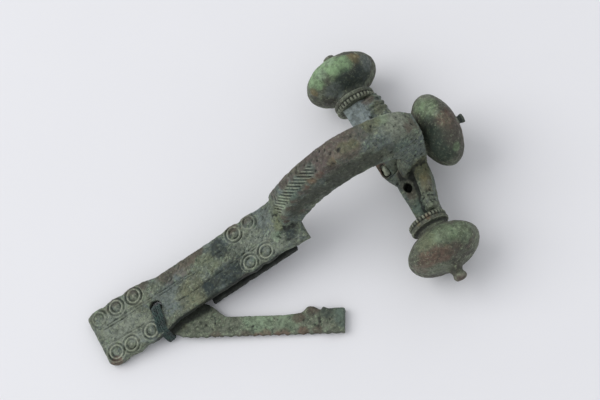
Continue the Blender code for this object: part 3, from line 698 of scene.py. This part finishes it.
def crest_ribs(points):
    """Height of the three beaded ribs of each arm's crest block."""
    x, y, z = points.T
    away = np.abs(y)
    block = span(9.9, 10.2, 13.1, 13.4, away) * eased(69.4, 70.0, x) * eased(-6.0, -5.4, z)
    rib = np.abs(np.sin(math.pi * (away - RIB_START) / RIB_PITCH))
    beads = np.abs(np.sin(math.pi * (x + 0.6 * z) / RIB_BEAD_PITCH))
    return block * (0.10 + 0.45 * rib * (0.55 + 0.45 * beads))


def crisper(mesh, points, share):
    """Draws the edges out again where share is 1, after the faces were evened."""
    means = neighbour_means(mesh)
    soft = points
    for _ in range(6):
        soft = means(soft)
    return points + 0.9 * share[:, None] * (points - soft)


def carve_foot_top(points):
    """Cuts the worn and pitted carving into the foot's top face; gives 1 on that face."""
    x, y, z = points.T
    top = on_foot_top(points)
    wear = 0.6 + 0.4 * eased(-0.35, 0.2, wobble(points, 2.0, 1))
    pitted = 0.10 * eased(0.3, 0.6, wobble(points, 0.7, 6))
    pitted = pitted + 0.06 * eased(0.2, 0.5, wobble(points, 1.5, 7))
    uneven = 0.06 * (1.0 + rough(points, 0.8, 2))
    drifted_x = x + 0.07 * wobble(points, 1.4, 8)
    drifted_y = y + 0.07 * wobble(points, 1.4, 9)
    carved = -carved_foot(drifted_x, drifted_y) * wear - uneven - pitted
    points[:, 2] += top * (carved - z)
    return top


def slope_arms(points, normals):
    """Raises the left arm's front face towards its collar, and draws the right arm's back in."""
    x, y, z = points.T
    front = (y < 14.3) & (normals[:, 2] > 0.3) & (x > 65.0)
    points[:, 2] += 0.9 * eased(10.3, 13.9, y) * front * (1.0 - eased(69.6, 70.8, x))
    points[:, 0] -= eased(6.0, 11.5, -y) * eased(70.6, 73.5, x) * (y < 0.0)


def corrode_casting(points, normals, top):
    """Roughens and pits the casting all over, apart from the foot's top face."""
    pit_depth = 0.18 - 0.10 * eased(4.5, 6.0, np.abs(points[:, 1]))
    pits = pit_depth * eased(0.25, 0.6, wobble(points, 0.8, 4))
    worn = 0.10 * rough(points, 1.7, 3) - pits - 0.04
    points += normals * (worn * (1.0 - top))[:, None]


def carved_or_hatched(place, normal):
    """Where the casting's faces are made finer: the foot's top and the bow's hatched part."""
    foot = place.x < 44.0 and place.z > -0.8 and normal.z > 0.5
    bow = 44.0 < place.x < 62.0 and place.z > 2.0 and normal.z > 0.3
    return foot or bow


def work_casting():
    piece = evened(merged_copy("brooch_casting"), "cast_body", CASTING_GRAIN)
    rounded(piece, 2, carved_or_hatched)
    mesh = piece.data
    points = points_of(mesh)
    past_foot = eased(46.5, 48.5, points[:, 0]) * eased(-10.0, -8.5, points[:, 2])
    move_points(mesh, crisper(mesh, points, past_foot))
    points, normals = points_of(mesh), normals_of(mesh)
    top = carve_foot_top(points)
    blend_bow_base(mesh, points)
    slope_arms(points, normals)
    points -= normals * bow_hatch(points, normals)[:, None]
    points += normals * crest_ribs(points)[:, None]
    corrode_casting(points, normals, top)
    move_points(mesh, points)
    return piece


# Patches of patina, and of painted shade where marked: the centre and radius of each, its tone and
# how strong it is

# Places of the black painted shade inside the sheath
SHEATH_SHADE_PLACES = ((20.0, -4.0), (24.0, -4.4), (28.0, -4.6), (32.0, -4.8), (36.0, -4.8),
                (40.0, -4.8), (43.0, -4.8))
CASTING_PATCHES = (
    # Foot
    ((17.1, 0.0, 0.0), 3.4, "blue_grey", 0.8),
    ((22.0, -2.2, 0.0), 4.4, "olive", 0.55),
    ((27.0, 1.5, 0.0), 3.2, "yellow_green", 0.4),
    ((25.7, -3.4, 0.0), 2.6, "slate", 1.0), ((28.4, -3.0, 0.0), 2.4, "slate", 0.95),
    ((31.2, -3.4, 0.0), 2.9, "slate", 1.0),
    ((30.6, 2.4, 0.0), 2.3, "slate", 0.9),
    ((33.5, -0.5, 0.0), 2.2, "slate", 0.5),
    ((18.9, 4.7, 0.0), 3.0, "brown", 0.75), ((13.6, 5.2, -0.2), 1.6, "brown", 0.7),
    ((24.0, 4.9, -0.2), 2.8, "brown", 0.8), ((22.0, 3.2, 0.0), 2.0, "taupe", 0.6),
    ((35.0, 4.9, -0.2), 1.7, "brown", 0.75), ((38.4, 4.9, -0.2), 1.6, "brown", 0.6),
    ((6.6, 5.5, -0.2), 1.4, "brown", 0.55), ((10.8, 5.4, -0.2), 1.6, "brown", 0.65),
    ((27.0, 4.6, 0.0), 1.3, "brown", 0.8),
    ((5.0, 0.5, 0.0), 5.0, "pale_green", 0.6), ((8.0, -2.0, 0.0), 4.0, "pale_green", 0.4),
    ((1.5, -5.6, -0.5), 1.5, "red_brown", 0.8),
    ((32.6, -5.1, -1.0), 1.1, "brown", 0.8),
    ((37.0, 0.3, 0.0), 3.4, "pale_green", 0.55), ((41.0, -3.0, 0.0), 2.6, "pale_green", 0.5),
    ((42.3, -2.1, 0.3), 1.3, "mint", 0.45),
    ((43.6, -0.9, 1.0), 1.3, "yellow_green", 0.8), ((43.8, 1.2, 1.2), 1.6, "yellow_green", 0.7),
    ((44.9, -3.2, 0.2), 1.8, "slate", 0.95), ((42.0, 2.6, 0.2), 2.6, "blue_grey", 0.75),
    # Sheath: black painted shade inside it
    *(((x, -3.8, z), 2.4, "black", 0.9) for x, z in SHEATH_SHADE_PLACES),
    # Bow
    ((47.0, 0.2, 6.0), 2.8, "pale_green", 0.85), ((45.6, 0.6, 3.6), 2.2, "yellow_green", 0.6),
    ((54.0, 2.4, 12.2), 3.6, "brown", 0.7),
    ((46.0, -1.4, 4.0), 1.0, "taupe", 0.8), ((48.0, -1.7, 6.7), 1.1, "brown", 0.8),
    ((50.0, -1.7, 8.6), 1.2, "brown", 0.85), ((52.0, -1.8, 10.1), 1.1, "purple_brown", 0.85),
    ((53.6, -1.7, 11.2), 1.1, "red_brown", 0.85),
    ((45.6, -2.0, 2.4), 1.0, "dark_red", 0.8), ((46.9, -2.4, 3.9), 1.1, "dark_red", 0.85),
    ((48.7, -2.5, 5.8), 1.2, "brown", 0.9), ((50.9, -2.6, 7.8), 1.2, "dark_red", 0.85),
    ((53.2, -2.6, 9.6), 1.2, "brown", 0.9),
    ((50.5, 3.4, 9.0), 2.6, "purple_brown", 0.8), ((47.5, 4.0, 5.5), 2.4, "purple_brown", 0.7),
    ((59.5, 0.8, 14.4), 4.8, "purple_brown", 0.9), ((65.0, 0.5, 15.0), 4.8, "taupe", 0.85),
    ((64.0, 1.6, 14.8), 3.0, "purple_brown", 0.6),
    ((64.5, -0.6, 15.0), 1.6, "olive", 0.6), ((61.0, -1.6, 14.3), 1.2, "yellow_brown", 0.6),
    ((50.5, -0.6, 9.8), 1.9, "teal", 0.7), ((53.0, -0.2, 11.6), 1.8, "teal", 0.6),
    ((56.5, 0.2, 13.4), 1.6, "teal", 0.5), ((47.6, 0.4, 7.0), 1.8, "mint", 0.45),
    ((66.5, -0.8, 14.8), 1.4, "olive", 0.7), ((69.0, 0.6, 14.2), 2.6, "dark_taupe", 0.45),
    ((55.6, -1.9, 12.0), 1.2, "orange_brown", 0.75), ((57.5, -2.3, 13.0), 1.5, "red_brown", 0.7),
    ((60.5, -2.3, 14.0), 1.8, "brown", 0.7), ((63.5, -2.5, 14.2), 1.6, "brown", 0.5),
    ((74.6, 0.6, 10.6), 4.2, "pale_green", 0.9), ((74.8, 0.2, 10.4), 3.4, "pale_grey", 0.35),
    ((73.0, 1.6, 12.0), 2.0, "bright_green", 0.35),
    ((71.0, 1.5, 13.2), 2.4, "olive", 0.6), ((74.0, -2.4, 9.6), 3.0, "pale_green", 0.6),
    ((76.4, -1.9, 8.4), 1.6, "taupe", 0.8), ((77.5, -0.5, 6.5), 1.8, "brown", 0.6),
    # Painted shade on the bow's right flank: the dark olive patches along it
    ((48.5, -2.8, 4.5), 2.4, "dark_olive", 0.85), ((51.5, -3.4, 6.6), 2.8, "dark_olive", 0.95),
    ((55.0, -3.8, 8.2), 3.2, "dark_olive", 0.95), ((59.0, -4.0, 9.4), 3.6, "dark_olive", 0.95),
    ((63.0, -4.2, 9.8), 3.6, "dark_olive", 0.95), ((67.0, -4.4, 9.3), 3.4, "dark_olive", 0.85),
    ((71.0, -4.6, 8.5), 3.4, "dark_olive", 0.6), ((74.0, -4.6, 6.5), 3.0, "teal", 0.5),
    ((50.0, -3.6, 3.8), 1.8, "red_brown", 0.6), ((54.5, -4.2, 5.6), 1.8, "brown", 0.7),
    # Crossbar
    ((68.0, 12.6, -5.0), 3.4, "sky_grey", 0.95), ((67.6, 9.8, -5.6), 2.8, "sky_grey", 0.9),
    ((71.6, 13.3, -3.5), 1.8, "brown", 0.8), ((72.4, 10.6, -4.0), 2.0, "olive", 0.6),
    # The small black spot at (69.8, 10.3) is painted shade standing for a hole
    ((69.8, 10.3, -5.3), 0.5, "black", 1.0), ((73.3, -5.6, -3.6), 3.0, "olive", 0.85),
    ((73.2, -8.6, -3.6), 2.4, "yellow_brown", 0.45), ((69.0, -11.6, -5.7), 2.4, "teal", 0.8),
    ((66.0, 0.4, -6.2), 1.5, "red_brown", 0.85), ((66.2, -1.0, -6.8), 1.2, "red_brown", 0.6),
    ((68.9, -0.6, -6.6), 2.0, "grey_green", 0.8), ((69.4, -3.4, -5.7), 1.5, "taupe", 0.7),
    ((69.6, -6.0, -5.7), 2.6, "dark_taupe", 0.7), ((71.4, -6.6, -5.6), 1.2, "dark_green", 0.9),
    ((71.0, -8.6, -5.6), 1.2, "dark_green", 0.9), ((68.7, -8.3, -5.7), 1.2, "brown", 0.7),
    # Black inside the crossbar's hole: painted shade
    ((68.7, -6.5, -6.6), 1.0, "black", 1.0), ((68.7, -6.5, -7.8), 1.3, "black", 1.0),
)


# Knobs, strip and rod

def outward(points, side):
    """Distance out from the middle along the crossbar, with the place around its axis."""
    across, height = points[:, 0] - KNOB_AXIS[0], points[:, 2] - KNOB_AXIS[1]
    return side * points[:, 1], np.hypot(across, height), np.arctan2(height, across)


def work_collar(points, side):
    """Sharpens the collar: a row of beads towards the arm and a plain disc towards the knob."""
    out, radius, angle = outward(points, side)
    collar = (out < COLLAR_END) & (radius > 3.75)
    bead = np.abs(np.cos(0.5 * COLLAR_BEADS * angle)) ** 0.6
    beaded = COLLAR_RADIUS - 0.42 + 0.42 * bead * bulge(out - BEAD_ROW, 0.52)
    disc = COLLAR_RADIUS - 0.30 + 0.30 * bulge(out - DISC_MIDDLE, 0.5)
    wanted = np.where(out < DISC_START, beaded, disc)
    wanted = wanted * (1.0 if side > 0.0 else RIGHT_COLLAR_SHARE)
    points = stretch_round_axis(points, np.where(collar, wanted / np.maximum(radius, 0.1), 1.0))
    points[:, 1] -= side * 0.28 * (1.0 - eased(16.3, 16.9, out))
    return points


def stretch_round_axis(points, stretch):
    """Widens a side knob round its axis."""
    points = points.copy()
    points[:, 0] = KNOB_AXIS[0] + (points[:, 0] - KNOB_AXIS[0]) * stretch
    points[:, 2] = KNOB_AXIS[1] + (points[:, 2] - KNOB_AXIS[1]) * stretch
    return points


def work_finial(points, side, places, stretches):
    """Stretches the finial round its axis, by shares given at distances from the knob's middle."""
    out, radius, _ = outward(points, side)
    share = np.interp(out - KNOB_FROM_MIDDLE, places, stretches) - 1.0
    near = (1.0 - eased(1.7, 2.9, radius)) * (out > KNOB_FROM_MIDDLE)
    return stretch_round_axis(points, 1.0 + near * share)


def work_head_finial(points):
    """Draws the head knob's finial in a little, both round and along its axis."""
    axis = np.array((math.cos(HEAD_DROOP), 0.0, -math.sin(HEAD_DROOP)))
    from_middle = points - np.array(HEAD_KNOB_MIDDLE)
    along = from_middle @ axis
    across = from_middle - along[:, None] * axis
    tip = eased(4.1, 4.7, along) * (np.linalg.norm(across, axis=1) < 2.2)
    return points - across * (0.24 * tip)[:, None] - axis * (0.22 * (along - 4.1) * tip)[:, None]


def work_knob(node, name, seed):
    piece = evened(merged_copy(node), name, KNOB_GRAIN)
    side = {"left_knob": 1.0, "right_knob": -1.0, "head_knob": 0.0}[node]
    rounded(piece, 3, (lambda place, normal: abs(place.y) < 16.5) if side else None)
    mesh = piece.data
    points, normals = points_of(mesh), normals_of(mesh)
    if side:
        finial = LEFT_FINIAL if side > 0.0 else RIGHT_FINIAL
        points = work_finial(work_collar(points, side), side, *finial)
    else:
        points = work_head_finial(points)
    pits = eased(0.3, 0.75, wobble(points, 0.9, seed))
    pits = pits + 0.7 * eased(0.35, 0.7, wobble(points, 1.8, seed + 1))
    worn = 0.09 * rough(points, 2.2, seed + 2) - 0.02 - 0.07 * pits
    if side:
        worn = worn * np.where(np.abs(points[:, 1]) > PLAIN_KNOB_START, 1.0, 0.3)
    move_points(mesh, points + normals * worn[:, None])
    return piece


LEFT_KNOB_PATCHES = (
    ((69.2, 21.4, 1.2), 3.2, "bright_green", 0.9), ((67.0, 23.4, 0.2), 3.2, "bright_green", 0.85),
    ((71.4, 20.6, 0.6), 2.4, "bright_green", 0.8), ((64.8, 21.8, -0.4), 3.2, "bright_green", 0.9),
    ((66.4, 21.2, 0.8), 1.6, "mint", 0.7), ((69.0, 22.8, 0.7), 1.4, "mint", 0.6),
    ((73.6, 21.2, -0.8), 1.7, "yellow_brown", 0.75), ((62.9, 20.0, -1.5), 1.3, "yellow_brown", 0.8),
    ((70.0, 17.9, -1.4), 3.2, "slate", 0.85), ((72.8, 17.9, -3.0), 3.2, "slate", 0.85),
    ((66.5, 18.0, -2.0), 2.4, "blue_grey", 0.7), ((75.0, 19.8, -3.2), 2.2, "blue_grey", 0.7),
    ((68.8, 14.8, -2.2), 2.6, "grey_green", 0.5),
)
RIGHT_KNOB_PATCHES = (
    ((70.5, -19.9, 0.7), 3.6, "bright_green", 0.28),
    ((74.0, -21.8, -1.2), 3.4, "bright_green", 0.28),
    ((67.0, -20.0, 0.3), 2.6, "yellow_green", 0.55), ((68.0, -23.8, -0.6), 2.8, "red_brown", 0.7),
    ((65.0, -23.1, -0.9), 2.4, "red_brown", 0.6), ((71.0, -24.2, -1.4), 2.2, "brown", 0.55),
    ((66.5, -24.6, -4.0), 2.6, "grey_green", 0.7), ((63.6, -22.6, -3.4), 2.2, "taupe", 0.7),
    ((68.5, -28.2, -6.3), 1.6, "dark_red", 1.0), ((69.6, -15.0, -2.2), 1.0, "orange_brown", 0.8),
    ((71.4, -15.0, -3.0), 0.7, "orange_brown", 0.7),
    ((67.0, -15.2, -2.4), 0.7, "yellow_brown", 0.7),
)
HEAD_KNOB_PATCHES = (
    ((84.9, 0.0, -7.0), 1.4, "slate", 0.9), ((80.6, 2.4, 1.8), 3.0, "bright_green", 0.4),
    ((79.4, 4.8, 0.4), 2.4, "bright_green", 0.3),
    ((83.2, -2.3, 0.6), 3.2, "red_brown", 0.6), ((84.6, -4.6, -2.2), 3.6, "dark_red", 0.85),
    ((80.8, -4.9, 0.3), 2.6, "dark_taupe", 0.85), ((81.2, -7.0, -2.4), 2.6, "dark_olive", 0.8),
    ((84.8, -0.5, -0.5), 2.6, "dark_red", 0.8), ((82.0, -7.0, -4.4), 3.0, "dark_taupe", 0.8),
    ((78.7, -3.2, 0.4), 3.2, "dark_green", 0.95), ((78.4, -5.4, -2.0), 3.4, "dark_green", 0.95),
    ((82.4, -4.6, -0.6), 3.0, "dark_taupe", 0.7),
    ((81.6, -6.6, -1.9), 1.1, "bright_green", 0.45), ((79.2, 0.0, 2.0), 2.0, "slate", 0.5),
)


def work_strip():
    piece = evened(merged_copy("loose_catch_strip"), "catch_strip", STRIP_GRAIN)
    rounded(piece, 2)
    mesh = piece.data
    points, normals = points_of(mesh), normals_of(mesh)
    along = points[:, :2] @ np.array(STRIP_ALONG)
    facing = normals[:, :2] @ np.array(STRIP_ACROSS)
    pits = 0.12 * eased(0.3, 0.75, wobble(points, 0.7, 32))
    notch = SCALLOP_DEPTH * (1.0 - np.abs(np.sin(math.pi * along / SCALLOP_PITCH)))
    notch = notch * eased(0.4, 0.8, facing) * (1.0 - 0.45 * eased(43.5, 45.0, along))
    worn = 0.10 * rough(points, 1.2, 31) - 0.04 - pits - notch
    sunk = np.interp(along, EDGE_AT, EDGE_SINKS) * eased(-0.2, 0.6, -facing)
    points[:, :2] -= sunk[:, None] * np.array(STRIP_ACROSS)
    move_points(mesh, points + normals * worn[:, None])
    return piece


STRIP_PATCHES = (
    ((30.0, -12.6, -5.6), 4.0, "mint", 0.7), ((34.5, -15.6, -6.6), 3.0, "mint", 0.55),
    ((20.7, -11.3, -4.2), 1.6, "brown", 0.7), ((26.0, -14.4, -5.2), 1.6, "brown", 0.75),
    ((29.5, -16.2, -5.8), 1.5, "red_brown", 0.7), ((32.6, -17.8, -6.4), 1.6, "red_brown", 0.7),
    ((27.6, -15.5, -5.9), 1.4, "red_brown", 0.8), ((36.0, -19.4, -7.2), 1.5, "red_brown", 0.75),
    ((31.2, -17.4, -6.6), 1.4, "red_brown", 0.8), ((38.8, -20.6, -7.8), 1.4, "dark_red", 0.7),
    ((36.6, -16.2, -7.0), 1.5, "dark_red", 0.75), ((24.2, -13.8, -5.4), 1.3, "brown", 0.7),
    ((40.2, -15.9, -7.9), 2.0, "brown", 0.85), ((41.8, -18.2, -8.0), 1.8, "slate", 0.75),
    ((44.4, -20.6, -8.0), 2.6, "teal", 0.7),
)


def work_rod():
    """The rod's rough broken end, grown a little to fill its bore as corrosion does."""
    piece = evened(merged_copy("hinge_rod"), "broken_rod", ROD_GRAIN)
    rounded(piece, 2)
    mesh = piece.data
    points, normals = points_of(mesh), normals_of(mesh)
    move_points(mesh, points + normals * (0.16 + 0.06 * rough(points, 0.5, 41))[:, None])
    return piece


# Thread

def smooth_loop(knots, count):
    """Points evenly shared along a closed smooth curve through the knots."""
    loop = []
    for i in range(count):
        place = i / count * len(knots)
        k = int(place)
        u = place - k
        a, b, c, d = (Vector(knots[(k + j) % len(knots)]) for j in (-1, 0, 1, 2))
        loop.append(0.5 * (2.0 * b + (c - a) * u + (2.0 * a - 5.0 * b + 4.0 * c - d) * u * u
                           + (3.0 * b - a - 3.0 * c + d) * u * u * u))
    return loop


def ply_point(loop, i, turn, ply, twists):
    """A place on one ply of one turn: the loop's point, moved across for its turn and twist."""
    ahead = loop[(i + 1) % len(loop)] - loop[i - 1]
    out = Vector((-ahead.y, ahead.x)).normalized()
    angle = 2.0 * math.pi * i / len(loop)
    spread = 0.78 + 0.22 * math.sin(angle + 0.2)
    side = (turn - 0.5 * (THREAD_TURNS - 1)) * THREAD_SPACING * spread
    side += 0.10 * math.sin(2.0 * angle + 1.7 * turn)
    lift = 0.07 * math.sin(3.0 * angle + 2.3 * turn)
    twist = twists * angle + 2.0 * math.pi * (0.5 * ply + 0.17 * turn)
    flat = loop[i] + out * (lift + 0.85 * THREAD_PLY * math.sin(twist))
    along = HOLE_PLACE[0] + side + 0.85 * THREAD_PLY * math.cos(twist)
    return along + THREAD_LEAN * (flat.x - HOLE_PLACE[1]), flat.x, flat.y, 1.0


def work_thread():
    """Turns of two-ply thread, side by side through the foot's hole and round the strip."""
    loop = smooth_loop(THREAD_PATH, THREAD_POINTS)
    length = sum((loop[i] - loop[i - 1]).length for i in range(THREAD_POINTS))
    twists = round(length / THREAD_TWIST)
    curve = bpy.data.curves.new("thread_turns", "CURVE")
    curve.dimensions = "3D"
    curve.bevel_depth = THREAD_PLY
    curve.bevel_resolution = 1
    for turn in range(THREAD_TURNS):
        for ply in range(2):
            spline = curve.splines.new("POLY")
            spline.points.add(THREAD_POINTS - 1)
            spline.use_cyclic_u = True
            for i in range(THREAD_POINTS):
                spline.points[i].co = ply_point(loop, i, turn, ply, twists)
    turns = link("thread_turns", curve)
    graph = bpy.context.evaluated_depsgraph_get()
    mesh = bpy.data.meshes.new_from_object(turns.evaluated_get(graph))
    bpy.data.objects.remove(turns)
    mesh.name = "thread"
    return link("thread", mesh)


def thread_fibre():
    """Dull dark green cotton, paler where single fibres stand out."""
    nodes = Nodes("dark_green_thread")
    dyed = nodes.between(nodes.noise(0.9, 4.0), 0.35, 0.65)
    colour = nodes.blend(dyed, (0.004, 0.014, 0.012), (0.014, 0.044, 0.035))
    fibres = nodes.between(nodes.noise(0.12, 3.0), 0.5, 0.75, 0.0, 0.5)
    colour = nodes.blend(fibres, colour, (0.050, 0.110, 0.084))
    nodes.join(colour, nodes.shader.inputs["Base Color"])
    nodes.shader.inputs["Roughness"].default_value = 0.8
    nodes.shader.inputs["Sheen Weight"].default_value = 0.3
    nodes.bumps(nodes.noise(0.08, 4.0, 0.7), 0.5, 0.05)
    return nodes.material


# Camera, light and table

def set_camera():
    lens = bpy.data.cameras.new("camera")
    lens.lens = LENS
    lens.sensor_width = 36.0
    lens.clip_start = 0.01
    lens.clip_end = 10.0
    camera = link("camera", lens)
    on_table = TO_TABLE.to_3x3()
    right = (on_table @ Vector(CAMERA_RIGHT)).normalized()
    back = (on_table @ Vector(CAMERA_BACK)).normalized()
    up = back.cross(right).normalized()
    right = up.cross(back)
    turn = Matrix((right, up, back)).transposed().to_4x4()
    camera.matrix_world = Matrix.Translation(TO_TABLE @ Vector(CAMERA_PLACE)) @ turn
    bpy.context.scene.camera = camera


def set_light():
    """An even pale room and one large soft lamp at the upper left."""
    world = bpy.data.worlds.new("studio")
    world.use_nodes = True
    room = world.node_tree.nodes["Background"]
    room.inputs["Color"].default_value = ROOM_COLOUR
    room.inputs["Strength"].default_value = ROOM_STRENGTH
    bpy.context.scene.world = world
    bpy.context.scene.view_settings.view_transform = "Standard"
    lamp = bpy.data.lights.new("softbox", "AREA")
    lamp.shape = "DISK"
    lamp.size = LAMP_WIDTH
    lamp.energy = LAMP_POWER
    box = link("softbox", lamp)
    place = Vector(LAMP_WAY) * LAMP_DISTANCE
    turn = place.to_track_quat("Z", "Y").to_matrix().to_4x4()
    box.matrix_world = Matrix.Translation(place) @ turn


def set_table():
    shape = bmesh.new()
    bmesh.ops.create_grid(shape, x_segments=1, y_segments=1, size=TABLE_HALF_SIDE)
    mesh = bpy.data.meshes.new("table")
    shape.to_mesh(mesh)
    shape.free()
    table = link("table", mesh)
    nodes = Nodes("pale_board")
    colour = nodes.blend(nodes.noise(30.0, 2.0), (0.775, 0.770, 0.790), (0.795, 0.790, 0.810))
    nodes.join(colour, nodes.shader.inputs["Base Color"])
    nodes.shader.inputs["Roughness"].default_value = 0.9
    nodes.shader.inputs["Specular IOR Level"].default_value = 0.2
    mesh.materials.append(nodes.material)


def main():
    set_camera()
    set_light()
    set_table()
    body = patinated_bronze("body_patina", "grey_green", "blue_grey", "mint", "taupe")
    knob = patinated_bronze("knob_patina", "grey_green", "dark_taupe", "yellow_green", "brown", 0.6)
    strip = patinated_bronze("strip_patina", "grey_green", "grey_green", "mint", "olive")
    rod = patinated_bronze("rod_break", "pale_grey", "pale_grey", "sky_grey", "taupe", 0.5)
    finish_piece(work_casting(), "brooch_casting", body, CASTING_PATCHES, 5,
                 shade_casting)
    for node, name, seed, patches in (("left_knob", "onion_knob_left", 11, LEFT_KNOB_PATCHES),
                                      ("right_knob", "onion_knob_right", 15, RIGHT_KNOB_PATCHES),
                                      ("head_knob", "onion_knob_head", 19, HEAD_KNOB_PATCHES)):
        finish_piece(work_knob(node, name, seed), node, knob, patches, seed,
                     shade_knob)
    finish_piece(work_strip(), "loose_catch_strip", strip, STRIP_PATCHES, 33,
                 shade_strip)
    finish_piece(work_rod(), "hinge_rod", rod, (), 43)
    finish_piece(work_thread(), "binding_thread", thread_fibre(), (), 51)


main()
